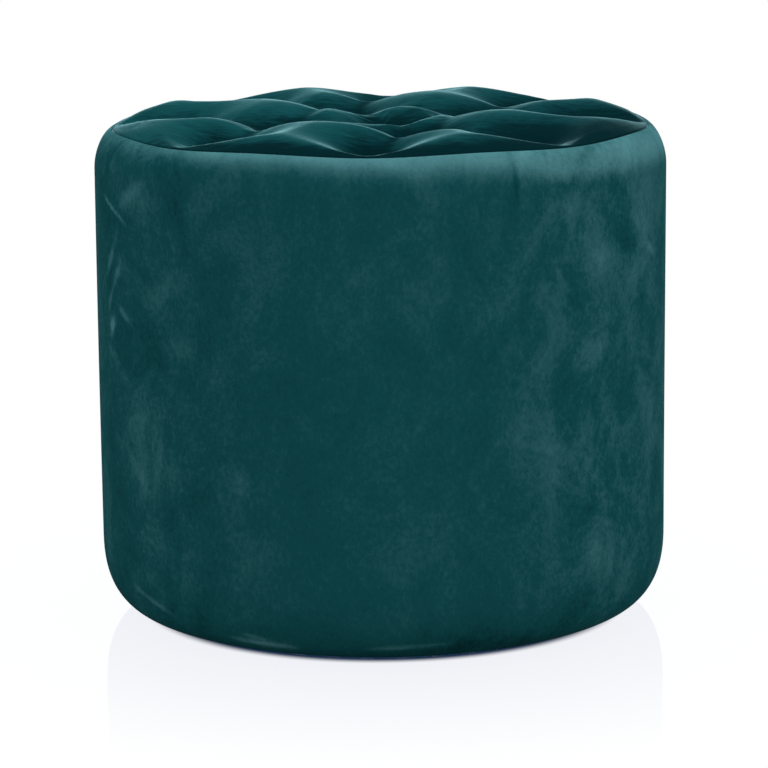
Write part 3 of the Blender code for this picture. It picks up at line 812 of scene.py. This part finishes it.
def fromTufts(x, y):
    # Distance from the nearest tuft.
    return np.min([np.hypot(x - tuft[0], y - tuft[1]) for tuft in tufts], axis=0)


def foldLines():
    # Start, end and tightness of each fold: out to the seam, in to the nearest inner tuft, round the
    # inner ring, and from there to the middle.
    lines = []
    for tuft in ringTufts:
        nearest = innerTufts[np.argmin(np.linalg.norm(innerTufts - tuft, axis=1))]
        lines.append((tuft, tuft * seamRadius / np.linalg.norm(tuft), tufting["toSeam"]))
        lines.append((tuft, nearest, tufting["toInner"]))
    for index, tuft in enumerate(innerTufts):
        following = innerTufts[(index + 1) % len(innerTufts)]
        lines.append((tuft, following, tufting["betweenInner"][index]))
        lines.append((tuft, middleTuft, tufting["toMiddle"][index]))
    return lines


def pillows(x, y):
    # Height over the seam's plane: a low crown c(1 - (r/R)^p), pillows a(1 - exp(-reach/w)), where
    # reach is the blended distance from folds and seam, (sum of distance^-n)^(-1/n), and pits
    # d exp(-distance/s) round the tufts.
    rounding, power = tufting["foldRounding"], tufting["foldBlend"]
    flat = tufting["foldFlat"] * rounding
    toSeam = np.maximum(seamRadius - np.hypot(x, y), 0)
    near = (toSeam * tufting["seamSteepness"] + flat) ** -power
    for start, end, tightness in foldLines():
        away = fromLine(x, y, start, end)[0]
        near = near + (np.hypot(away, rounding) * tightness) ** -power
    reach = np.maximum(near ** (-1 / power) - flat, 0)
    share = np.minimum(np.hypot(x, y) / seamRadius, 1)
    crown = tufting["crown"] * (1 - share ** tufting["crownPower"])
    pillow = tufting["pillow"] * (1 - np.exp(-reach / tufting["pillowSpread"]))
    pit = np.exp(-np.hypot(fromTufts(x, y), rounding / 2) / tufting["pitSpread"])
    return crown + pillow - tufting["pit"] * pit * (1 - np.exp(-toSeam / tufting["pitFade"]))


def relief(x, y):
    # The pillows, level under each button, with small gathers that run out from it.
    height = pillows(x, y)
    for index, tuft in enumerate(tufts):
        away = np.hypot(x - tuft[0], y - tuft[1])
        bearing = np.arctan2(y - tuft[1], x - tuft[0])
        seat = pillows(*(np.full((1, 1), part) for part in tuft))
        level = 1 - easeIn(away, tufting["seatInner"], tufting["seatOuter"])
        spokes = sum(
            strength * np.sin(count * bearing + turn * index)
            for strength, count, turn in tufting["gatherSets"]
        )
        reach = easeIn(away, tufting["seatInner"], tufting["gatherStart"])
        reach = reach * np.exp(-away / tufting["gatherFade"])
        height = height * (1 - level) + seat * level + tufting["gathers"] * reach * spokes
    return height


settling = {
    "rows": 64,
    "columns": 200,
    "frames": 20,
    "buttonHold": 0.0105,
    "seamHold": 0.004,
    "holdReach": 0.03,
    "smoothing": 3,
    "cap": 0.004,
    "cloth": {
        "quality": 7,
        "mass": 0.25,
        "tension_stiffness": 20,
        "compression_stiffness": 12,
        "shear_stiffness": 6,
        "bending_stiffness": 1.2,
        "shrink_min": -0.004,
        "use_pressure": True,
        "uniform_pressure_force": 3.0,
        "vertex_group_mass": "held",
    },
}


def spots(grid):
    # The places of a polar grid one after another, the middle once.
    return np.concatenate([grid[0, :1], grid[1:].reshape(-1, *grid.shape[2:])])


def simulated(points, held):
    # Where Blender's cloth simulation takes a polar grid of points that is held at some of them.
    places = spots(points)
    ids = np.maximum(np.arange(held.size).reshape(held.shape) - held.shape[1] + 1, 0)
    faces = np.stack([ids[:-1], ids[1:], np.roll(ids[1:], -1, 1), np.roll(ids[:-1], -1, 1)], 2)
    mesh = bpy.data.meshes.new("settling cloth")
    faces = faces[0, :, :3].tolist() + faces[1:].reshape(-1, 4).tolist()
    mesh.from_pydata(places.tolist(), [], faces)
    piece = added("settling cloth", mesh)
    group = piece.vertex_groups.new(name="held")
    group.add(np.nonzero(spots(held))[0].tolist(), 1.0, "REPLACE")
    cloth = piece.modifiers.new("cloth", "CLOTH")
    for setting, value in settling["cloth"].items():
        setattr(cloth.settings, setting, value)
    cloth.settings.effector_weights.gravity = 0
    for step in range(1, settling["frames"] + 1):
        bpy.context.scene.frame_set(step)
    done = piece.evaluated_get(bpy.context.evaluated_depsgraph_get()).to_mesh()
    after = np.empty(places.size)
    done.vertices.foreach_get("co", after)
    bpy.data.objects.remove(piece)
    bpy.context.scene.frame_set(1)
    return after.reshape(-1, 3)


def settle():
    # Lets the top cloth settle over the pillows, cut a little larger than they are, held at the seam
    # and under the buttons and pressed up from below. Returns how far each place of a coarse polar grid
    # moved, capped and less the mean rise, with the first column again at the end.
    radii = np.linspace(0, seamRadius - drum["seamRoll"], settling["rows"])
    x, y = polar(radii, fullTurn(settling["columns"]))
    moved = np.zeros(x.shape + (3,))
    points = np.stack([x, y, relief(x, y)], 2)
    away = fromTufts(x, y)
    held = (away < settling["buttonHold"]) | (np.hypot(x, y) > radii[-1] - settling["seamHold"])
    change = simulated(points, held) - spots(points)
    moved[0] = change[0]
    moved[1:] = change[1:].reshape(moved[1:].shape)
    length = np.linalg.norm(moved, axis=2)[..., None]
    moved = moved * np.minimum(1, settling["cap"] / np.maximum(length, 1e-9))
    for _ in range(settling["smoothing"]):
        moved = (np.roll(moved, 1, 1) + 2 * moved + np.roll(moved, -1, 1)) / 4
    loose = 1 - np.exp(-(np.minimum(away, radii[-1] - np.hypot(x, y)) / settling["holdReach"]) ** 2)
    rise = (moved[..., 2] * loose).mean() / loose.mean()
    print("mean rise, mm:", round(1000 * float(rise), 2))
    moved[..., 2] -= rise * loose
    return np.concatenate([moved, moved[:, :1]], 1)


settled = settle()
print("top cloth settled, most in mm:", round(1000 * float(np.linalg.norm(settled, axis=2).max()), 2))


def shift(x, y):
    # How far the cloth settled at x, y: bilinear between the four nearest places of the polar grid.
    row = np.hypot(x, y) / (seamRadius - drum["seamRoll"]) * (settling["rows"] - 1)
    column = (np.arctan2(y, x) - backAngle) % math.tau / math.tau * settling["columns"]
    top = np.clip(row.astype(int), 0, settling["rows"] - 2)
    left = np.clip(column.astype(int), 0, settling["columns"] - 1)
    down = np.clip(row - top, 0, 1)[..., None]
    across = (column - left)[..., None]
    upper = settled[top, left] * (1 - across) + settled[top, left + 1] * across
    lower = settled[top + 1, left] * (1 - across) + settled[top + 1, left + 1] * across
    return upper * (1 - down) + lower * down


def topRadii(inset=0.0):
    # Rows from the middle to the rolled edge, then down into the seam: radius and fall.
    roll = drum["seamRoll"]
    edge = seamRadius - drum["gap"] / 2 - inset
    turn = np.linspace(0, math.pi / 2, drum["rollRows"])[1:]
    flat = np.linspace(0, edge - roll, tufting["rows"])
    radii = np.concatenate([flat, edge - roll + roll * np.sin(turn), [edge, edge]])
    down = [2 * roll, drum["seamAllowance"]]
    return radii, np.concatenate([np.zeros(len(flat)), roll * (1 - np.cos(turn)), down])


def topFace(depth=0.0, inset=0.0):
    # The tufted face on a polar grid, some depth under the cloth's own face.
    angles = fullTurn(tufting["columns"])
    radii, fall = topRadii(inset)
    x, y = polar(radii, angles)
    plan = np.minimum(np.hypot(x, y), seamRadius - drum["gap"])
    scale = plan / np.maximum(np.hypot(x, y), 1e-9)
    height = relief(x * scale, y * scale)
    wave = easeIn(np.hypot(x, y), seamRadius - tufting["waveReach"], seamRadius - drum["seamRoll"])
    height = height + wave * seamWave(angles)[None, :]
    face = np.stack([x, y, drum["seamHeight"] + height - fall[:, None] - depth], 2)
    return face + shift(x * scale, y * scale)


# Painted light and shade over the top cloth
topPaintedShading = {
    "plain": 0.235,
    # Painted highlight on the crests, between two heights above the seam, and painted light on slopes
    # that face the back
    "crest": 0.07,
    "crestReach": (0.004, 0.019),
    "slope": 0.26,
    # Painted shade in the pits, in the folds and at the edge on the side of edgeSide, and how far each
    # reaches
    "pit": 0.22,
    "pitReach": 0.025,
    "fold": 0.10,
    "foldReach": 0.006,
    "edge": 0.19,
    "edgeReach": 0.020,
    "edgeSide": (0.6, -0.8),
    "edgeStart": (-0.3, 0.5),
    # Painted shade in one patch at the front right, and a little towards the right and the back
    "front": 0.12,
    "frontPlace": (0.165, -0.125),
    "frontSize": (0.075, 0.05),
    "tilt": (0.06, 0.03),
}


def topPaintedLight(points):
    # Painted shade in the pits and folds, on slopes that face the front, and down to the seam at the
    # front and right; painted highlight on the crests and on slopes that face the back, and paler to the
    # left as painted light.
    x, y = points[..., 0], points[..., 1]
    fromFolds = np.min([fromLine(x, y, start, end)[0] for start, end, _ in foldLines()], axis=0)
    pit = np.exp(-(fromTufts(x, y) / topPaintedShading["pitReach"]) ** 2)
    fold = np.exp(-(fromFolds / topPaintedShading["foldReach"]) ** 2)
    edge = np.exp(-((seamRadius - np.hypot(x, y)) / topPaintedShading["edgeReach"]) ** 2)
    towards = (topPaintedShading["edgeSide"][0] * x + topPaintedShading["edgeSide"][1] * y) / seamRadius
    place, size = topPaintedShading["frontPlace"], topPaintedShading["frontSize"]
    front = np.exp(-np.hypot((x - place[0]) / size[0], (y - place[1]) / size[1]) ** 2)
    crest = easeIn(points[..., 2] - drum["seamHeight"], *topPaintedShading["crestReach"])
    nap = topPaintedShading["plain"] + topPaintedShading["crest"] * crest + topPaintedShading["slope"] * facing(points)[..., 1]
    # Painted shade in the pits, folds, front and right edge and front patch
    nap = nap - topPaintedShading["pit"] * pit - topPaintedShading["fold"] * fold
    nap = nap - topPaintedShading["edge"] * edge * easeIn(towards, *topPaintedShading["edgeStart"]) - topPaintedShading["front"] * front
    return nap - (topPaintedShading["tilt"][0] * x + topPaintedShading["tilt"][1] * y) / seamRadius


def topCloth():
    upper = topFace()
    slope = np.gradient(upper[..., 2], axis=0)
    step = np.gradient(np.hypot(upper[..., 0], upper[..., 1]), axis=0)
    slope = (slope / np.maximum(step, 1e-5)) ** 2
    inside = 1 - drum["clothThickness"] / seamRadius
    lower = upper * (inside, inside, 1)
    lower[..., 2] -= np.sqrt(1 + np.minimum(slope, tufting["steepest"] ** 2)) * drum["clothThickness"]
    lower[-1, :, 2] = upper[-1, :, 2]
    count, edge = len(upper), tufting["edgeRows"]
    fewer = np.r_[0:count - edge - 1:tufting["innerStep"], count - edge:count]
    spread = sum(topRadii())
    cloth = flatDisc(andBack(spread, spread, fewer), fullTurn(tufting["columns"]))
    # Painted light and shade over the top, kept as an attribute
    nap = topPaintedLight(upper)
    nap = andBack(nap, nap, fewer)
    points = andBack(upper, lower, fewer)
    piece = shell("top_cloth", points, topVelvet, "velvet", cloth, poles=True, nap=nap)
    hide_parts("velvet_top_panel")


def seatPad():
    # The foam under the top cloth, level on the deck.
    step, count = tufting["padStep"], tufting["rows"]
    rows = np.r_[0:count:step, count:count + tufting["padEdgeRows"]]
    upper = topFace(tufting["padDepth"], tufting["padInset"])[rows, ::step]
    floor = deckTop + drum["gap"]
    heights = np.linspace(upper[-1, :, 2], floor, tufting["padSideRows"])[1:]
    sides = np.repeat(upper[-1:], len(heights), 0)
    sides[..., 2] = heights
    under = np.linspace(1, 0, tufting["padUnderRows"])[1:, None, None] * upper[-1:]
    under[..., 2] = floor
    points = np.concatenate([upper, sides, under])
    down = np.arange(len(points)) / len(points)
    cloth = flatStrip(np.linspace(0, 1, points.shape[1] + 1), down)
    piece = shell("seat_pad", points, foam, "foam", cloth, poles=True)
    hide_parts("seat_foam")


topCloth()
seatPad()
print("top cloth and seat pad made")


# Covered buttons

button = {
    "rows": 26,
    "columns": 84,
    "roundness": 0.8,
    # Pleats, then wider ones under them, and how strong these are
    "pleats": 12,
    "pleatDepth": 0.035,
    "widePleats": 5,
    "widePleatShare": 0.4,
    "rim": 0.55,
    "cloth": 0.018,
    "nap": 0.28,
    "rimNap": 0.25,
}


def coveredButton(index, name):
    # A dome and a tucked-under back on one profile, r = sin t eased and z = cos t, with pleats that
    # deepen towards the back: 1 - d (1 + sin(n turn)) of the radius.
    low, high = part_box(name)
    centre = (low + high) / 2
    radius = (high.x - low.x) / 2
    fall = np.linspace(0, math.pi, button["rows"])
    turn = fullTurn(button["columns"])
    height = np.where(fall < math.pi / 2, np.cos(fall), np.cos(fall) * button["rim"])
    middle = low.z + (high.z - low.z) * button["rim"] / (1 + button["rim"])
    tall = (high.z - low.z) / (1 + button["rim"])
    pleats = np.sin(button["pleats"] * turn + index)
    pleats = pleats + button["widePleatShare"] * np.sin(button["widePleats"] * turn + 2 * index)
    depth = (button["pleatDepth"] * np.sin(fall / 2) ** 3)[:, None]
    wide = radius * (np.sin(fall) ** button["roundness"])[:, None]
    wide = wide * (1 - depth * (1 + pleats) / (2 + button["widePleatShare"]))
    x, y = centre.x + wide * np.cos(turn), centre.y + wide * np.sin(turn)
    points = np.stack(np.broadcast_arrays(x, y, (middle + tall * height)[:, None]), 2)
    cloth = flatDisc(button["cloth"] * fall / math.pi, turn)
    nap = button["nap"] + button["rimNap"] * np.sin(fall)[:, None] ** 2
    nap = np.broadcast_to(nap, x.shape)
    piece = shell(name + "_cover", points, topVelvet, "velvet", cloth, poles=True, nap=nap)
    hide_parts(name)


buttonNames = sorted(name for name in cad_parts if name.startswith("tuft_button"))
for index, name in enumerate(buttonNames):
    coveredButton(index, name)
print("buttons made:", len(buttonNames))


# Underside: dust cover, staples and glides

coverSheet = {
    "rows": 70,
    "columns": 240,
    "sag": 0.0005,
    # Shares of the radius: how far out the sag round the glides reaches, how much of the sag it is and
    # how much it changes from glide to glide, then where the sag of the middle ends
    "ringReach": 0.83,
    "ringSag": 0.6,
    "glides": 6,
    "uneven": 0.2,
    "middleReach": 0.7,
    # The ripple between staples, from where, over what share and how high
    "staples": 40,
    "rippleStart": 0.93,
    "rippleReach": 0.07,
    "edgeRipple": 0.00018,
}


def dustCover():
    # A disc that hangs slack between the glides and the edge, with a faint ripple between staples.
    low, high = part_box("dust_cover")
    radius = high.x
    turn = fullTurn(coverSheet["columns"])
    radii = np.linspace(0, radius, coverSheet["rows"])
    share = (radii / radius)[:, None]
    held = np.cos(coverSheet["glides"] * (turn - tufting["turn"]))
    slack = np.sin(math.pi * np.clip(share / coverSheet["ringReach"], 0, 1)) ** 2 * coverSheet["ringSag"]
    slack = slack + np.maximum(coverSheet["middleReach"] - share, 0)
    slack = slack * (1 + coverSheet["uneven"] * held * share)
    ripple = np.maximum(share - coverSheet["rippleStart"], 0) / coverSheet["rippleReach"]
    ripple = ripple * np.cos(coverSheet["staples"] * turn)
    drop = coverSheet["sag"] * slack - coverSheet["edgeRipple"] * ripple
    lower = np.stack([*polar(radii, turn), low.z - drop], 2)
    upper = lower + (0, 0, high.z - low.z)
    every = np.arange(len(radii))
    cloth = flatDisc(andBack(radii, radii, every), turn)
    points = andBack(lower, upper, every)
    piece = shell("dust_sheet", points, dustCloth, "dust_cloth", cloth, poles=True)
    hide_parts("dust_cover")


dustCover()
print("dust cover made")

staple = {
    "setIn": 0.0024,
    "below": 0.0002,
    "crown": 0.0098,
    "leg": 0.0035,
    "bend": 0.0006,
    "bendRows": 5,
    "wide": 0.0006,
    "thick": 0.0003,
    "sides": 8,
    # How far each stands from its place, and how far it is turned, in radians
    "stray": 0.0004,
    "skew": 0.12,
}

glide = {
    "columns": 56,
    "faceRows": 8,
    "edgeRows": 6,
    "edge": 0.0009,
    "thick": 0.0028,
    "crownRise": 0.0003,
    "nailHead": 0.0034,
    "nail": 0.0012,
    "nailPoint": 0.003,
    "nailTaper": 0.6,
    "nailStep": 4,
}


def sweep(route, wide, thick):
    # An oval wire on a route that turns only in its own vertical plane: rows along it, columns round
    # it, closed at both ends.
    step = np.gradient(route, axis=0)
    step = step / np.linalg.norm(step, axis=1)[:, None]
    turn = np.linspace(0, math.tau, staple["sides"], endpoint=False)
    rows = np.r_[0, 0:len(route), len(route) - 1]
    size = np.ones(len(rows))
    size[[0, -1]] = 0
    side = wide * np.cos(turn) * size[:, None]
    out = thick * np.sin(turn) * size[:, None]
    x = route[rows, 0][:, None] - step[rows, 1][:, None] * out
    z = route[rows, 1][:, None] + step[rows, 0][:, None] * out
    return x, side, z


def staples():
    # Crowns along the edge of the dust cover, legs up into the board: one shell for each, joined.
    low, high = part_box("dust_cover")
    half, bend = staple["crown"] / 2, staple["bend"]
    foot = low.z - staple["below"]
    corner = np.linspace(0, math.pi / 2, staple["bendRows"])
    left = np.stack([-half + bend * (1 - np.cos(corner)), foot + bend * (1 - np.sin(corner))], 1)
    right = left[::-1] * (-1, 1)
    leg = foot + staple["leg"]
    route = np.concatenate([[[-half, leg]], left, right, [[half, leg]]])
    x, side, z = sweep(route, staple["wide"], staple["thick"])
    pieces = []
    for index in range(coverSheet["staples"]):
        angle = math.tau * (index + 0.5) / coverSheet["staples"]
        radius = high.x - staple["setIn"] + staple["stray"] * math.sin(5.3 * index)
        skew = angle + math.pi / 2 + staple["skew"] * math.sin(2.7 * index + 1)
        px = radius * math.cos(angle) + x * math.cos(skew) - side * math.sin(skew)
        py = radius * math.sin(angle) + x * math.sin(skew) + side * math.cos(skew)
        pieces.append(shell("staple", np.stack([px, py, z], 2), steel, "steel", poles=True))
    first = pieces[0]
    with bpy.context.temp_override(active_object=first, selected_editable_objects=pieces):
        bpy.ops.object.join()
    first.name = "dust_cover_staples"


def turnedCap(name):
    # A moulded glide: a faintly crowned face with rounded edges on a steel nail.
    low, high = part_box(name)
    centre = (low + high) / 2
    place = (centre.x, centre.y, low.z)
    radius = (high.x - low.x) / 2
    turn = fullTurn(glide["columns"])
    corner = np.linspace(0, math.pi / 2, glide["edgeRows"])
    edge, thick = glide["edge"], glide["thick"]
    face = np.linspace(0, radius - edge, glide["faceRows"])
    face = np.stack([face, glide["crownRise"] * (face / radius) ** 4], 1)
    lower = np.stack([radius - edge + edge * np.sin(corner), edge * (1 - np.cos(corner))], 1)
    upper = np.stack([radius - edge + edge * np.cos(corner), thick - edge * (1 - np.sin(corner))], 1)
    profile = np.concatenate([face, lower[1:], upper, [[glide["nailHead"], thick], [0, thick]]])
    cap = shell(name + "_cap", around(profile, turn) + place, plastic, "plastic", poles=True)
    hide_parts(name)
    nail, point = glide["nail"], glide["nailPoint"]
    tip = high.z - low.z
    taper = [nail * glide["nailTaper"], tip - point / 2]
    profile = np.array([[0, thick], [nail, thick], [nail, tip - point], taper, [0, tip]])
    points = around(profile, turn[::glide["nailStep"]]) + place
    shell(name + "_nail", points, steel, "steel", poles=True)


staples()
for name in sorted(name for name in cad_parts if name.startswith("glide")):
    turnedCap(name)
print("staples and glides made")


# Materials for the frame's own nodes

def nodeFinish(finish, *prefixes):
    for name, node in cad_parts.items():
        if name.startswith(prefixes):
            node.data.materials.clear()
            node.data.materials.append(finish)


nodeFinish(plywood, "seat_deck", "base_board")
nodeFinish(pine, "frame_post")
nodeFinish(hardboard, "side_wall")
nodeFinish(steel, "deck_screw", "base_screw")
nodeFinish(twine, "tuft_twine")


# Floor and lights

white = (1, 1, 1, 1)

stage = {
    "half": 14.0,
    # The reflection: strength, the radii between which it fades, roughness and tints, the second a
    # painted cool glow added where it shows
    "mirror": 0.115,
    "mirrorReach": (0.21, 0.57),
    "mirrorRoughness": 0.05,
    "mirrorColour": (0.95, 0.98, 1, 1),
    "paintedReflectionGlow": (0, 0.13, 0.48, 1),
    # The shadow: the radii between which the contact fades, the floor's tone at its heart, darker as
    # painted shadow, and how much paler it gets, then the share of the real shadow that stays beyond
    # it, and the radii between which that fades
    "contact": (0.202, 0.219),
    "paintedShadowTone": 0.25,
    "paintedShadowRise": 0.67,
    "shade": 0.03,
    "shadeReach": (0.45, 1.3),
    # The radii between which it stops letting in light from below, its tone where the camera doesn't
    # see it, the world's strength and what the lamps face
    "window": (0.185, 0.206),
    "matt": 0.6,
    "world": 0.62,
    "aim": (0, 0, 0.25),
}

# Name, place, side, power and colour of each lamp
lamps = [
    ("overhead lamp", (0.1, 0.1, 2.4), 1.8, 42, (1, 1, 1)),
    ("right lamp", (2.2, -1.8, 1.3), 1.2, 27, (1, 0.99, 0.97)),
    ("left lamp", (-2.2, -1.8, 1.2), 1.4, 19, (0.97, 0.99, 1)),
]


def floorFinish():
    # White to the camera, but for a little of the shadow near the drum, and all of it where they meet,
    # over a tone painted darker there as painted shadow, and a faint cool reflection with a painted cool
    # glow added to it. From below it is clear, and under the drum it lets in the world's light, so
    # that the dust cover shows.
    made = Finish("pale floor")
    radius = made.node("VectorMath", {"operation": "LENGTH"}, 1, i0=made.place())
    seen = made.node("LightPath")
    mirrored = (1 - made.eased(radius, *stage["mirrorReach"])) * stage["mirror"] * seen
    beyond = made.eased(radius, *stage["contact"])
    shade = 1 - beyond * (1 - stage["shade"] * (1 - made.eased(radius, *stage["shadeReach"])))
    shown = made.node("Emission", Color=white, Strength=1.0)
    matt = made.node("BsdfDiffuse", Color=(stage["matt"],) * 3 + (1,))
    # Painted shadow: the floor's own tone darker near the drum
    tone = stage["paintedShadowTone"] + stage["paintedShadowRise"] * beyond
    tone = made.node("CombineColor", Red=tone, Green=tone, Blue=tone)
    plain = made.mixed(seen, matt, made.node("BsdfDiffuse", Color=tone))
    plain = made.mixed(seen * (1 - shade), plain, shown)
    gloss = made.node("BsdfGlossy", Color=stage["mirrorColour"], Roughness=stage["mirrorRoughness"])
    # Painted reflection: a faint blue glow added where the floor reflects
    tint = made.node("Emission", Color=stage["paintedReflectionGlow"], Strength=1.0)
    upper = made.mixed(mirrored, plain, made.node("AddShader", i0=gloss, i1=tint))
    window = (1 - made.eased(radius, *stage["window"])) * (1 - seen)
    through = made.node("NewGeometry", output=6).larger(window)
    return made.end(made.mixed(through, upper, made.node("BsdfTransparent", Color=white)))


def addFloor():
    half = stage["half"]
    mesh = bpy.data.meshes.new("floor")
    mesh.from_pydata([(-half, -half, 0), (half, -half, 0), (half, half, 0), (-half, half, 0)], [],
                     [(0, 1, 2, 3)])
    mesh.materials.append(floorFinish())
    floor = added("floor", mesh)


def addLight(name, place, size, power, tint):
    # A soft square lamp that faces the middle of the drum.
    lamp = added(name, bpy.data.lights.new(name, "AREA"))
    lamp.data.size = size
    lamp.data.energy = power
    lamp.data.color = tint
    lamp.location = place
    towards = np.array(stage["aim"]) - place
    spin = math.atan2(towards[0], -towards[1])
    tip = math.atan2(math.hypot(towards[0], towards[1]), -towards[2])
    lamp.rotation_euler = (tip, 0, spin + math.pi)


def addWorld():
    # Soft light, and plain white to the camera and in the floor's reflection.
    world = bpy.data.worlds.new("studio")
    bpy.context.scene.world = world
    made = Finish("studio", world)
    seen = made.node("LightPath").larger(made.node("LightPath", output=3))
    soft = made.node("Background", Color=white, Strength=stage["world"])
    shown = made.node("Background", Color=white, Strength=1.0)
    made.end(made.mixed(seen, soft, shown), "OutputWorld")


addFloor()
addWorld()
for lamp in lamps:
    addLight(*lamp)
bpy.context.scene.view_settings.view_transform = "Standard"
print("floor, world and lights added")
